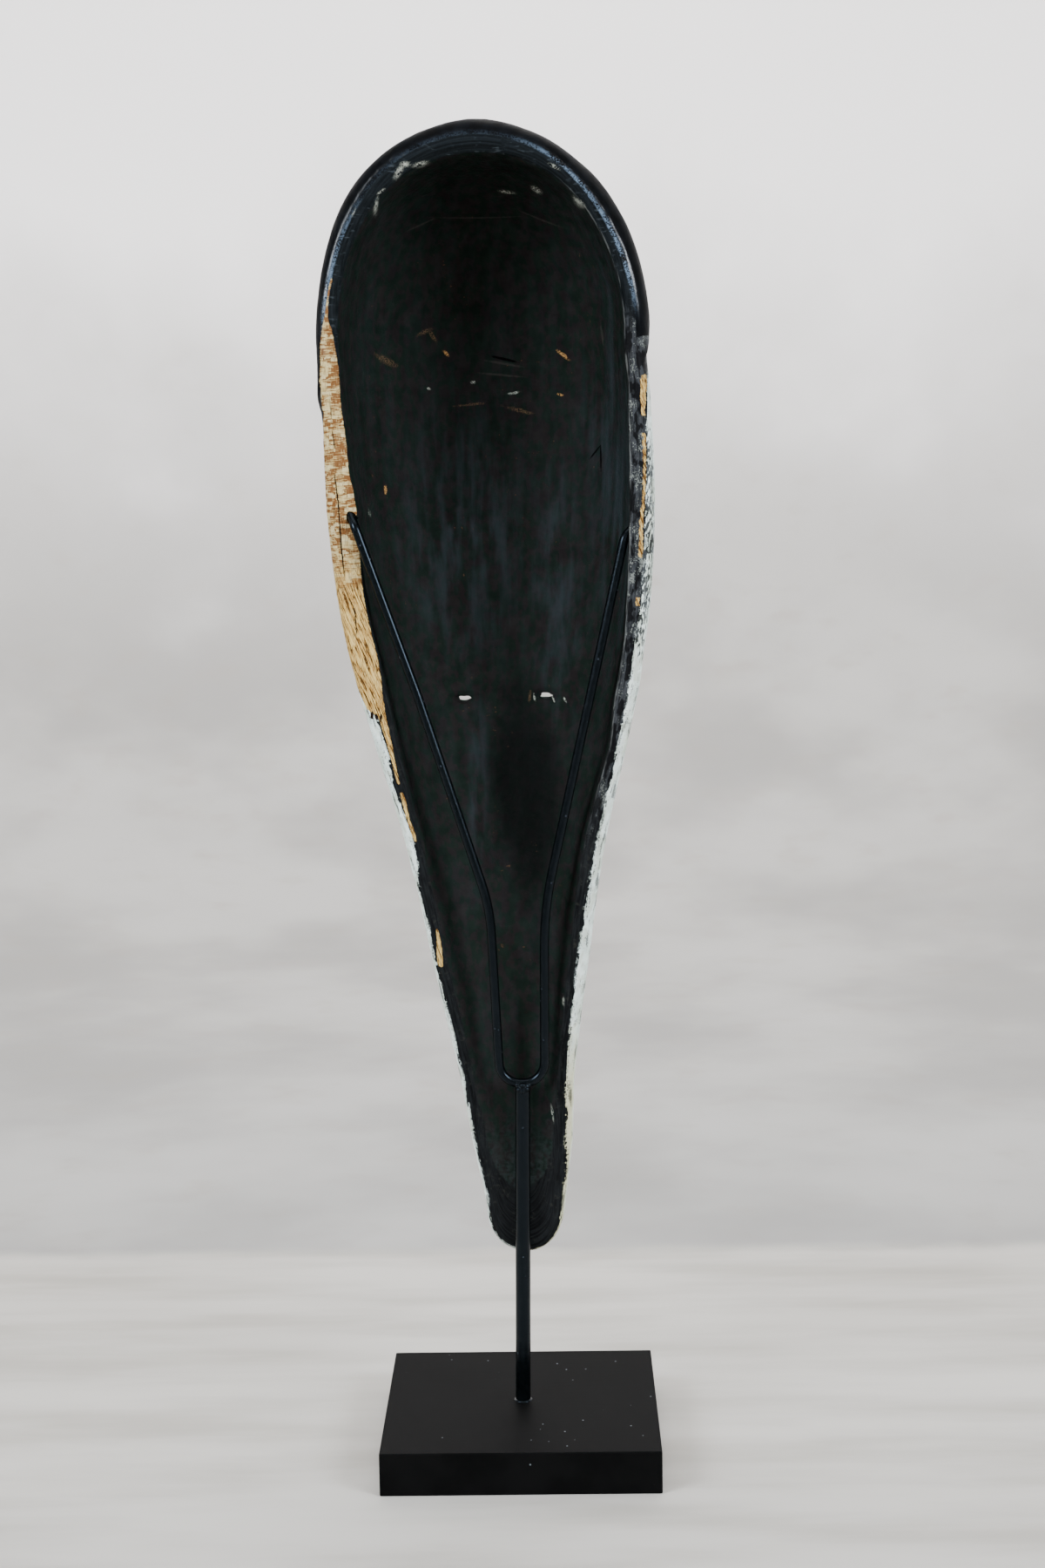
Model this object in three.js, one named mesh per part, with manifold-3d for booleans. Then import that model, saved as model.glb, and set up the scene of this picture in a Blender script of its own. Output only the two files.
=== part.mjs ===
// A carved wooden mask, hollow at the back, held upright on a black steel stand with a square foot.
// Millimetres, +Z up. The origin is the middle of the foot's underside. The mask looks along +Y.
import * as THREE from 'three';
import { mergeVertices } from 'three/addons/utils/BufferGeometryUtils.js';
import Module from 'manifold-3d';

const wasm = await Module();
wasm.setup();

// The stand
const footSize = 180;
const footThickness = 28;
const footChamfer = 1;
const postDiameter = 10;
const postSocketDepth = 18;
const postStartX = 0.5;
const postLean = THREE.MathUtils.degToRad(0.75);
const forkDiameter = 6;
const forkBottom = 245.1;
const forkHalfWidth = 14.6;
const forkCentreX = 3.5;
const weldRadius = 6.6;
const fitGap = 0.3;

// The mask's own frame: x across the face, height v from the chin to the crown, and depth from the
// flat back edge towards the nose.
const maskLength = 737.8;
const maskHalfWidth = 104.3;
const crownStart = 602;
const chinHalfWidth = 25.3;
const chinDrop = 27;
const crownPower = 2.15;
const sectionPower = 2.2;
const widestAt = 24;
const chinAt = new THREE.Vector3(1.6, 5.6, 127);
const chinShift = 2.6;
const chinShiftReach = 200;
const leanToLeft = THREE.MathUtils.degToRad(1.7);
const turnToRight = THREE.MathUtils.degToRad(4);

// The hollow in the back of the mask
const crownRimWidth = 21;
const hollowEnd = 45;
const hollowEndCentre = 90;
const rimInset = 4;
const crownRimInset = 7;
const rimBevel = 0.8;
const crownRimBevel = 5;

// The face
const eyeHeight = 367.5;
const eyeSpread = 27.5;
const browFoot = 456;
const browCrest = 470;
const noseRoot = 450;
const noseTip = 212;
const mouthHeight = 126.5;

// The dark cap of hair: the heights of the foot and top of its edge, and how far it stands proud
const capEdge = [577, 583];
const capArch = 72;
const capTilt = 19;
const capProud = 2.2;

const halfWidth = through([
  [chinDrop, chinHalfWidth], [80, 32.2], [130, 38], [190, 48.4], [250, 59], [290, 67.5], [340, 81.5],
  [390, 94.2], [440, 102.2], [500, 106.6], [560, 106], [crownStart, maskHalfWidth],
]);
const profileDepth = through([
  [chinDrop, 40], [60, 46], [110, 53], [160, 58], [215, 64], [300, 80], [371, 95], [450, 112], [520, 122],
  [crownStart, 126],
]);
const faceRecess = through([[60, 0], [90, 2], [160, 7], [215, 12], [300, 17], [371, 20], [450, 22]]);
const rimWidth = through([
  [hollowEndCentre, 9], [200, 10], [300, 11], [360, 12.5], [430, 16], [500, 17], [570, 14.5],
  [crownStart, 14.5],
]);
const hollowDepth = through([
  [hollowEnd, 2], [110, 6], [160, 11], [210, 19], [270, 33], [330, 49], [371, 59], [430, 76], [500, 95],
  [560, 106], [crownStart, 108],
]);
const hollowPower = through([[110, 1.9], [300, 2.1], [450, 2.5], [crownStart, 2.5]]);
const noseHalfWidth = through([[208, 17], [226, 17], [262, 12], [330, 9.5], [400, 9.5], [noseRoot, 14]]);
const noseRidge = through([[noseTip, 78], [noseRoot, 113]]);

// A smooth curve through points [place, value], level at both ends
function through(points) {
  const last = points.length - 1;
  const slopes = points.map((p, i) => {
    if (i === 0 || i === last) return 0;
    const [before, after] = [points[i - 1], points[i + 1]];
    return (after[1] - before[1]) / (after[0] - before[0]);
  });
  return (place) => {
    const at = THREE.MathUtils.clamp(place, points[0][0], points[last][0]);
    let i = 0;
    while (i < last - 1 && at > points[i + 1][0]) i += 1;
    const span = points[i + 1][0] - points[i][0];
    const t = (at - points[i][0]) / span;
    const start = points[i][1] * (2 * t ** 3 - 3 * t ** 2 + 1) + points[i + 1][1] * (3 * t ** 2 - 2 * t ** 3);
    return start + span * (slopes[i] * (t ** 3 - 2 * t ** 2 + t) + slopes[i + 1] * (t ** 3 - t ** 2));
  };
}

const step = (low, high, value) => THREE.MathUtils.smoothstep(value, low, high);
const bump = (distance) => Math.max(0, 1 - distance ** 2) ** 2;

function softMin(a, b, blend) {
  const share = THREE.MathUtils.clamp(0.5 + (0.5 * (b - a)) / blend, 0, 1);
  return b + (a - b) * share - blend * share * (1 - share);
}

const softMax = (a, b, blend) => -softMin(-a, -b, blend);
const superRadius = (a, b, power) => (Math.abs(a) ** power + Math.abs(b) ** power) ** (1 / power);
const rounded = (radius, power) => Math.max(0, 1 - radius ** power) ** (1 / power);

// How far out a point lies, from 0 on the middle line to 1 on the outline
function outlineRadius(x, v) {
  if (v > crownStart) {
    return superRadius(x / maskHalfWidth, (v - crownStart) / (maskLength - crownStart), crownPower);
  }
  if (v < chinDrop) return superRadius(x / chinHalfWidth, (chinDrop - v) / chinDrop, 2);
  return Math.abs(x) / halfWidth(v);
}

const hollowHalfWidth = (v) => halfWidth(v) - rimWidth(v);

function hollowRadius(x, v) {
  if (v > crownStart) {
    const rise = maskLength - crownRimWidth - crownStart;
    return superRadius(x / hollowHalfWidth(crownStart), (v - crownStart) / rise, crownPower);
  }
  if (v < hollowEndCentre) {
    const drop = hollowEndCentre - hollowEnd;
    return superRadius(x / hollowHalfWidth(hollowEndCentre), (hollowEndCentre - v) / drop, 2);
  }
  return Math.abs(x) / hollowHalfWidth(v);
}

const widestDepth = (v) => Math.min(widestAt, 0.3 * profileDepth(v));

// The uncarved form: a long drop, widest a little in front of its back edge
function blank(x, v) {
  const low = widestDepth(v);
  return low + (profileDepth(v) - low) * rounded(outlineRadius(x, v), sectionPower);
}

// Rows of the face that are level at first bend to follow the two brow arches and the cap's edge
function bentRow(x, row) {
  const across = Math.abs(x);
  const brow = 26 * Math.sin(Math.min(across / 36, 2) * 0.5 * Math.PI) - 10 - 0.5 * Math.max(across - 72, 0);
  const cap = capArch * Math.max(0, 1 - (x / maskHalfWidth) ** 2) + (capTilt * x) / maskHalfWidth;
  const capReach = row < capEdge[0] ? capEdge[0] - browCrest : 150;
  return row + brow * bump((row - browCrest) / 90) + cap * bump((row - capEdge[0]) / capReach);
}

const faceFloor = (x, v) => profileDepth(v) - faceRecess(v) + 4 * (x / 62) ** 2;

function nose(x, v, row) {
  const flank = Math.abs(x) / noseHalfWidth(v);
  if (flank > 1.3 || v < noseTip - 8 || row > browCrest - 4) return 0;
  const foot = faceFloor(0, v) - 4;
  return foot + (noseRidge(v) - foot) * (1 - flank ** 1.9) * step(noseTip - 8, noseTip, v);
}

function lips(x, v) {
  const form = 9 * bump(superRadius(x / 23, (v - mouthHeight) / 16, 2));
  const parting = 6.5 * bump(superRadius(x / 17, (v - mouthHeight) / 4.4, 2.6));
  return form - parting;
}

function eyelids(x, v) {
  const across = (Math.abs(x) - eyeSpread) / 21;
  return 3.6 * bump(superRadius(across, (v - eyeHeight) / 12, 1.7));
}

// The heart-shaped face is sunk below the brows; above them the forehead keeps the blank's form
function front(x, v, row) {
  const floor = faceFloor(x, v) + 60 * step(browFoot, browCrest, row);
  const face = softMin(blank(x, v), floor, 5) + lips(x, v) + eyelids(x, v);
  return softMax(face, nose(x, v, row), 3);
}

function lifted(point, row) {
  const centre = new THREE.Vector3(0, 0, Math.min(point.z, crownStart));
  const outward = point.clone().sub(centre).normalize();
  return point.addScaledVector(outward, capProud * step(capEdge[0], capEdge[1], row));
}

function hollow(x, v, edgeDepth) {
  const trough = 6 * bump(Math.abs(x) / (12 + 0.05 * v)) * step(215, 270, v) * (1 - step(420, 470, v));
  const gouge = 3 * bump(superRadius((Math.abs(x) - eyeSpread) / 15, (v - eyeHeight) / 6, 2));
  const floor = (hollowDepth(v) - edgeDepth) * rounded(hollowRadius(x, v), hollowPower(v));
  return edgeDepth + floor + trough + gouge;
}

// A point on a rounded end, as [x, v], at an angle from 0 at the side to 90 degrees at the tip
function endPoint(centre, across, along, angle, power) {
  const x = across * Math.abs(Math.cos(angle)) ** (2 / power);
  return new THREE.Vector2(x, centre + along * Math.abs(Math.sin(angle)) ** (2 / power));
}

function spread(ranges) {
  const places = [ranges[0][0]];
  for (const [from, to, count] of ranges) {
    for (let i = 1; i <= count; i += 1) places.push(from + ((to - from) * i) / count);
  }
  return places;
}

// Rays on the right half, from the chin's tip to the crown. Each runs from the middle line to the
// outline and has a partner ray in the hollow.
function halfRays() {
  const joinHeight = 110;
  const chinRays = 4;
  const crownRays = 11;
  const hollowEndRays = 6;
  const sideHeights = spread([
    [chinDrop, joinHeight, 5], [joinHeight, 122, 3], [122, 131, 2], [131, 143, 3], [143, noseTip - 8, 4],
    [noseTip - 8, noseTip, 2], [noseTip, 232, 2], [232, 352, 7], [352, 363, 2], [363, 372, 2], [372, 383, 2],
    [383, browFoot, 4], [browFoot, browCrest, 2], [browCrest, capEdge[0], 5], [...capEdge, 1],
    [capEdge[1], crownStart, 1],
  ]);
  const lowRays = chinRays + sideHeights.indexOf(joinHeight);
  const rays = [];
  const lowHollow = (index) => {
    if (index <= hollowEndRays) {
      const angle = 0.5 * Math.PI * (1 - index / hollowEndRays);
      const across = hollowHalfWidth(hollowEndCentre);
      const edge = endPoint(hollowEndCentre, across, hollowEnd - hollowEndCentre, angle, 2);
      return { edge, middle: hollowEndCentre };
    }
    const share = (index - hollowEndRays) / (lowRays - hollowEndRays);
    const v = hollowEndCentre + (joinHeight - hollowEndCentre) * share;
    return { edge: new THREE.Vector2(hollowHalfWidth(v), v), middle: v };
  };
  for (let i = 0; i < chinRays; i += 1) {
    const angle = 0.5 * Math.PI * (1 - i / chinRays);
    const edge = endPoint(chinDrop, chinHalfWidth, -chinDrop, angle, 2);
    rays.push({ edge, middle: chinDrop, hollow: lowHollow(rays.length) });
  }
  for (const v of sideHeights) {
    const own = { edge: new THREE.Vector2(hollowHalfWidth(v), v), middle: v };
    const partner = v < joinHeight ? lowHollow(rays.length) : own;
    rays.push({ edge: new THREE.Vector2(halfWidth(v), v), middle: v, hollow: partner });
  }
  for (let i = 1; i <= crownRays; i += 1) {
    const angle = (0.5 * Math.PI * i) / crownRays;
    const rise = maskLength - crownStart;
    const edge = endPoint(crownStart, maskHalfWidth, rise, angle, crownPower);
    const across = hollowHalfWidth(crownStart);
    const inner = endPoint(crownStart, across, rise - crownRimWidth, angle, crownPower);
    rays.push({ edge, middle: crownStart, hollow: { edge: inner, middle: crownStart } });
  }
  return rays;
}

// How far out along a ray its points lie: some across the nose, the rest closer towards the outline
function faceColumns(v) {
  const noseEdge = Math.min(noseHalfWidth(v) / halfWidth(v), 0.45);
  const columns = [0, 0.33, 0.66, 0.95, 1.2].map((share) => share * noseEdge);
  const start = columns[columns.length - 1];
  const outerSteps = 10;
  for (let i = 1; i <= outerSteps; i += 1) {
    columns.push(start + (1 - start) * Math.sin(0.5 * Math.PI * (i / outerSteps) ** 1.2));
  }
  return columns;
}

// The line of points along one ray: over the face to the outline, round the edge and down the hollow
function rayPoints(ray, side) {
  const hollowSteps = 8;
  const points = [];
  const { edge, middle } = ray;
  const crown = step(520, 660, edge.y);
  const inset = rimInset + (crownRimInset - rimInset) * crown;
  const bevel = rimBevel + (crownRimBevel - rimBevel) * crown;
  const reach = Math.hypot(edge.x, edge.y - middle);
  const outer = (out, depthAt) => {
    const row = middle + (edge.y - middle) * out;
    const level = side * edge.x * out;
    const v = bentRow(level, row);
    const pull = out ** 8 * (out / Math.max(outlineRadius(level, v), 0.01) - 1);
    const x = level * (1 + pull);
    points.push(lifted(new THREE.Vector3(x, depthAt(x, v, row), v), row));
  };
  for (const out of faceColumns(middle)) {
    outer(out, out < 1 ? front : (x, v) => widestDepth(v));
  }
  for (const turn of [0.5, 0.86]) {
    outer(1 - (inset / reach) * turn ** 2, () => widestDepth(edge.y) * (1 - turn));
  }
  const rimStart = new THREE.Vector2(edge.x, edge.y - middle).multiplyScalar(1 - (inset + 1.6) / reach);
  rimStart.y += middle;
  const rimEnd = ray.hollow.edge;
  const place = (spot, y) => points.push(new THREE.Vector3(side * spot.x, y, spot.y));
  place(rimStart, 0);
  place(rimStart.clone().lerp(rimEnd, 0.5), 0.25 * bevel);
  for (let i = 0; i <= hollowSteps; i += 1) {
    const out = Math.cos((0.5 * Math.PI * i) / hollowSteps) ** 0.8;
    const x = rimEnd.x * out;
    const v = ray.hollow.middle + (rimEnd.y - ray.hollow.middle) * out;
    place(new THREE.Vector2(x, v), i === 0 ? bevel : hollow(x, v, bevel));
  }
  return points;
}

// Closed surface through a ring of rays; the chin swings a little to the right
function skin(rays) {
  const count = rays[0].length;
  const swing = (v) => chinShift * (1 - step(0, chinShiftReach, v));
  const positions = rays.flat().flatMap((p) => [p.x + swing(p.z), p.y, p.z]);
  const faces = [];
  for (let j = 0; j < rays.length; j += 1) {
    const here = j * count;
    const next = ((j + 1) % rays.length) * count;
    for (let i = 0; i < count - 1; i += 1) {
      faces.push(here + i, next + i, next + i + 1, here + i, next + i + 1, here + i + 1);
    }
  }
  const geometry = new THREE.BufferGeometry();
  geometry.setAttribute('position', new THREE.Float32BufferAttribute(positions, 3));
  geometry.setIndex(faces);
  return geometry;
}

// A closed geometry as a solid for cutting and joining
function solid(geometry) {
  const bare = geometry.clone();
  bare.deleteAttribute('normal');
  bare.deleteAttribute('uv');
  const merged = mergeVertices(bare, 1e-3);
  const index = merged.index.array;
  const kept = [];
  for (let i = 0; i < index.length; i += 3) {
    const [a, b, c] = [index[i], index[i + 1], index[i + 2]];
    if (a !== b && b !== c && c !== a) kept.push(a, b, c);
  }
  const vertProperties = new Float32Array(merged.attributes.position.array);
  return new wasm.Manifold(new wasm.Mesh({ numProp: 3, vertProperties, triVerts: new Uint32Array(kept) }));
}

function surface(cut) {
  const mesh = cut.getMesh();
  const geometry = new THREE.BufferGeometry();
  geometry.setAttribute('position', new THREE.BufferAttribute(new Float32Array(mesh.vertProperties), 3));
  geometry.setIndex(new THREE.BufferAttribute(new Uint32Array(mesh.triVerts), 1));
  return geometry;
}

const maskPlace = new THREE.Matrix4()
  .makeTranslation(chinAt)
  .multiply(new THREE.Matrix4().makeRotationZ(-turnToRight))
  .multiply(new THREE.Matrix4().makeRotationY(-leanToLeft));

// An eye slit tapers from the face to the hollow
function eyeSlit(side) {
  const [frontHalf, backHalf, length] = [11, 6, 40];
  const slit = new THREE.CylinderGeometry(frontHalf, backHalf, length, 16);
  slit.scale(1, 1, 0.3);
  slit.translate(side * eyeSpread, 70, eyeHeight);
  return slit;
}

function maskGeometry() {
  const half = halfRays();
  const right = half.map((ray) => rayPoints(ray, 1));
  const left = half.slice(1, -1).map((ray) => rayPoints(ray, -1)).reverse();
  let carved = solid(skin([...right, ...left]));
  for (const side of [-1, 1]) carved = carved.subtract(solid(eyeSlit(side)));
  const clearance = solid(forkGeometry(forkDiameter / 2 + 0.5)).transform(maskPlace.clone().invert().elements);
  return surface(carved.subtract(clearance));
}

// One bend of a rod, as a near-circular arc between two straight stretches
function bendAt(before, corner, after, radius) {
  const inward = before.clone().sub(corner).normalize();
  const outward = after.clone().sub(corner).normalize();
  const turn = Math.PI - inward.angleTo(outward);
  const cut = radius * Math.tan(turn / 2);
  const pull = cut - (4 / 3) * Math.tan(turn / 4) * radius;
  const from = (direction, distance) => corner.clone().addScaledVector(direction, distance);
  return new THREE.CubicBezierCurve3(from(inward, cut), from(inward, pull), from(outward, pull), from(outward, cut));
}

// A rod's middle line: straight stretches and bends, each split into steps of its own
class RodLine extends THREE.Curve {
  constructor(stretches) {
    super();
    this.stretches = stretches;
    this.steps = stretches.reduce((sum, stretch) => sum + stretch.steps, 0);
  }

  getPoint(t, target = new THREE.Vector3()) {
    let place = t * this.steps;
    let index = 0;
    while (index < this.stretches.length - 1 && place > this.stretches[index].steps) {
      place -= this.stretches[index].steps;
      index += 1;
    }
    const { curve, steps } = this.stretches[index];
    return curve.getPoint(place / steps, target);
  }

  getUtoTmapping(u) {
    return u;
  }
}

// The fork is one rod: a U on top of the post, two arms that spread, and tips that enter the wood
function forkLine() {
  const left = forkCentreX - forkHalfWidth;
  const right = forkCentreX + forkHalfWidth;
  const corners = [
    { at: [-104.1, 20, 623] },
    { at: [-99.1, 9.5, 611], radius: 9, steps: 4 },
    { at: [-60.4, 5.7, 500.9], radius: 500, steps: 2 },
    { at: [left - 4.9, 0.5, 362.5], radius: 130, steps: 4 },
    { at: [left, 0, forkBottom], radius: forkHalfWidth - 0.5, steps: 8 },
    { at: [right, 0, forkBottom], radius: forkHalfWidth - 0.5, steps: 8 },
    { at: [right + 1.4, 0.5, 361.5], radius: 240, steps: 4 },
    { at: [74.4, 6, 602.3], radius: 9, steps: 4 },
    { at: [84.9, 12, 612.3] },
  ];
  const spots = corners.map((corner) => new THREE.Vector3(...corner.at));
  const longStep = 45;
  const stretches = [];
  const straight = (from, to) => {
    const steps = Math.ceil(from.distanceTo(to) / longStep);
    stretches.push({ curve: new THREE.LineCurve3(from, to), steps });
  };
  let start = spots[0];
  for (let i = 1; i < spots.length - 1; i += 1) {
    const bend = bendAt(spots[i - 1], spots[i], spots[i + 1], corners[i].radius);
    straight(start, bend.v0);
    stretches.push({ curve: bend, steps: corners[i].steps });
    start = bend.v3;
  }
  straight(start, spots[spots.length - 1]);
  return new RodLine(stretches);
}

function forkGeometry(radius) {
  const sides = 10;
  const section = new THREE.Shape();
  for (let i = 0; i < sides; i += 1) {
    const angle = (2 * Math.PI * i) / sides;
    const [x, y] = [radius * Math.cos(angle), radius * Math.sin(angle)];
    if (i === 0) section.moveTo(x, y);
    else section.lineTo(x, y);
  }
  section.closePath();
  const line = forkLine();
  return new THREE.ExtrudeGeometry(section, { steps: line.steps, extrudePath: line, bevelEnabled: false });
}

function upright(radius, bottom, top, sides) {
  const rod = new THREE.CylinderGeometry(radius, radius, top - bottom, sides);
  rod.rotateX(Math.PI / 2);
  rod.translate(0, 0, (top + bottom) / 2);
  return rod;
}

const postBottom = footThickness - postSocketDepth + fitGap;
const postTop = forkBottom - forkDiameter / 2 - fitGap;

// The post leans a little to the right, and what is made round it leans with it
const leaning = (geometry) => geometry.rotateY(postLean).translate(postStartX, 0, 0);

const postGeometry = () => leaning(upright(postDiameter / 2, postBottom, postTop, 32));

function footGeometry() {
  const inner = footSize / 2 - footChamfer;
  const outline = new THREE.Shape();
  outline.moveTo(-inner, -inner);
  outline.lineTo(inner, -inner);
  outline.lineTo(inner, inner);
  outline.lineTo(-inner, inner);
  outline.closePath();
  const block = new THREE.ExtrudeGeometry(outline, {
    depth: footThickness - 2 * footChamfer,
    bevelSize: footChamfer,
    bevelThickness: footChamfer,
    bevelSegments: 1,
  });
  block.translate(0, 0, footChamfer);
  const socket = upright(postDiameter / 2 + fitGap, footThickness - postSocketDepth, footThickness + 5, 32);
  return surface(solid(block).subtract(solid(leaning(socket))));
}

// The weld is a lump round the top of the post that cups the fork
function weldGeometry() {
  const profile = [];
  const turns = 8;
  for (let i = 0; i <= turns; i += 1) {
    const angle = (Math.PI * i) / turns;
    profile.push(new THREE.Vector2(i % turns ? weldRadius * Math.sin(angle) : 0, 4.6 * Math.cos(angle)));
  }
  const lump = new THREE.LatheGeometry(profile.reverse(), 20);
  lump.rotateX(Math.PI / 2);
  lump.translate(0, 0, postTop + 0.6);
  const post = solid(leaning(upright(postDiameter / 2 + fitGap, postTop - 20, postTop + fitGap, 32)));
  const fork = solid(forkGeometry(forkDiameter / 2 + fitGap));
  const trimmed = solid(leaning(lump)).subtract(post).subtract(fork);
  const pieces = trimmed.decompose().sort((a, b) => b.volume() - a.volume());
  return surface(pieces[0]);
}

function piece(name, geometry, color, roughness, metalness) {
  const mesh = new THREE.Mesh(geometry, new THREE.MeshStandardMaterial({ color, roughness, metalness }));
  mesh.name = name;
  return mesh;
}

const object = new THREE.Group();
object.add(piece('foot', footGeometry(), 0x1a191b, 0.45, 0));
object.add(piece('post', postGeometry(), 0x101215, 0.4, 0.5));
object.add(piece('weld', weldGeometry(), 0x101318, 0.35, 0.5));
object.add(piece('fork', forkGeometry(forkDiameter / 2), 0x101215, 0.4, 0.5));

const mask = piece('mask', maskGeometry(), 0x4a4640, 0.6, 0);
mask.applyMatrix4(maskPlace);
object.add(mask);

export default object;
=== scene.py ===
import math
from itertools import product

import bmesh
import bpy
import numpy as np
from mathutils import Matrix, Vector, kdtree


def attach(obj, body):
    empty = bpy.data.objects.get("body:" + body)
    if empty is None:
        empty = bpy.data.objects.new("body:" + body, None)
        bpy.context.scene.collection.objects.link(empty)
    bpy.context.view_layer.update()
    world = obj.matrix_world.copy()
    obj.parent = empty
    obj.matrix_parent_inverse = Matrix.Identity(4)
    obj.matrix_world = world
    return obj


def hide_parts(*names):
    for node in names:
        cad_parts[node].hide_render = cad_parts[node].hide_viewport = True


# A carved mask seen from its hollow back, on a forked steel stand with a square foot.
# Metres in the scene; the dictionaries of the pieces are in millimetres.
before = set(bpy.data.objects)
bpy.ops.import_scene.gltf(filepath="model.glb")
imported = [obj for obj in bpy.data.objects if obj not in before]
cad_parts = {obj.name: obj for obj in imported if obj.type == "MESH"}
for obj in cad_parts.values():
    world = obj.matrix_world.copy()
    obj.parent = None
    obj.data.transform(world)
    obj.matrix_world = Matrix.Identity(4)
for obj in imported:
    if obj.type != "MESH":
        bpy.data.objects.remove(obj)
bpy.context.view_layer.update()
print("frame loaded:", ", ".join(sorted(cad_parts)))

view = {
    "place": (25.5, -1575.5, 648.4),
    "lens": 56.27,
    "sensor": 36,
    "sight": 50,  # metres
    "down": 7.4,  # degrees below level
    "turn": -0.69,
    "roll": -0.86,
}


def placed(name, data):
    made = bpy.data.objects.new(name, data)
    bpy.context.scene.collection.objects.link(made)
    return made


def makeCamera():
    down, turn, roll = (math.radians(view[key]) for key in ("down", "turn", "roll"))
    ahead = Vector((math.sin(turn) * math.cos(down), math.cos(turn) * math.cos(down), -math.sin(down)))
    level = Vector((math.cos(turn), -math.sin(turn), 0))
    up = level.cross(ahead)
    right = level * math.cos(roll) + up * math.sin(roll)
    top = up * math.cos(roll) - level * math.sin(roll)
    data = bpy.data.cameras.new("camera")
    data.lens = view["lens"]
    data.sensor_width = view["sensor"]
    data.clip_end = view["sight"]
    camera = placed("camera", data)
    axes = Matrix((right, top, -ahead)).transposed().to_4x4()
    camera.matrix_world = Matrix.Translation(Vector(view["place"]) / 1000) @ axes
    bpy.context.scene.camera = camera


makeCamera()
print("camera placed")


def tint(red, green, blue):
    # a screen colour, 0 to 255, as the linear colour that a shader wants
    def linear(level):
        share = level / 255
        return share / 12.92 if share <= 0.04045 else ((share + 0.055) / 1.055) ** 2.4

    return (linear(red), linear(green), linear(blue), 1)


class Wire:
    # one value in a material; sums written with it become Math nodes
    def __init__(self, paint, socket):
        self.paint = paint
        self.socket = socket

    def math(self, operation, first, second=0.0):
        return self.paint.node("ShaderNodeMath", {"operation": operation}, {0: first, 1: second})

    def __add__(self, other):
        return self.math("ADD", self, other)

    def __radd__(self, other):
        return self.math("ADD", other, self)

    def __sub__(self, other):
        return self.math("SUBTRACT", self, other)

    def __rsub__(self, other):
        return self.math("SUBTRACT", other, self)

    def __mul__(self, other):
        return self.math("MULTIPLY", self, other)

    def __rmul__(self, other):
        return self.math("MULTIPLY", other, self)

    def __abs__(self):
        return self.math("ABSOLUTE", self)

    def atLeast(self, other):
        return self.math("MAXIMUM", self, other)


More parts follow.
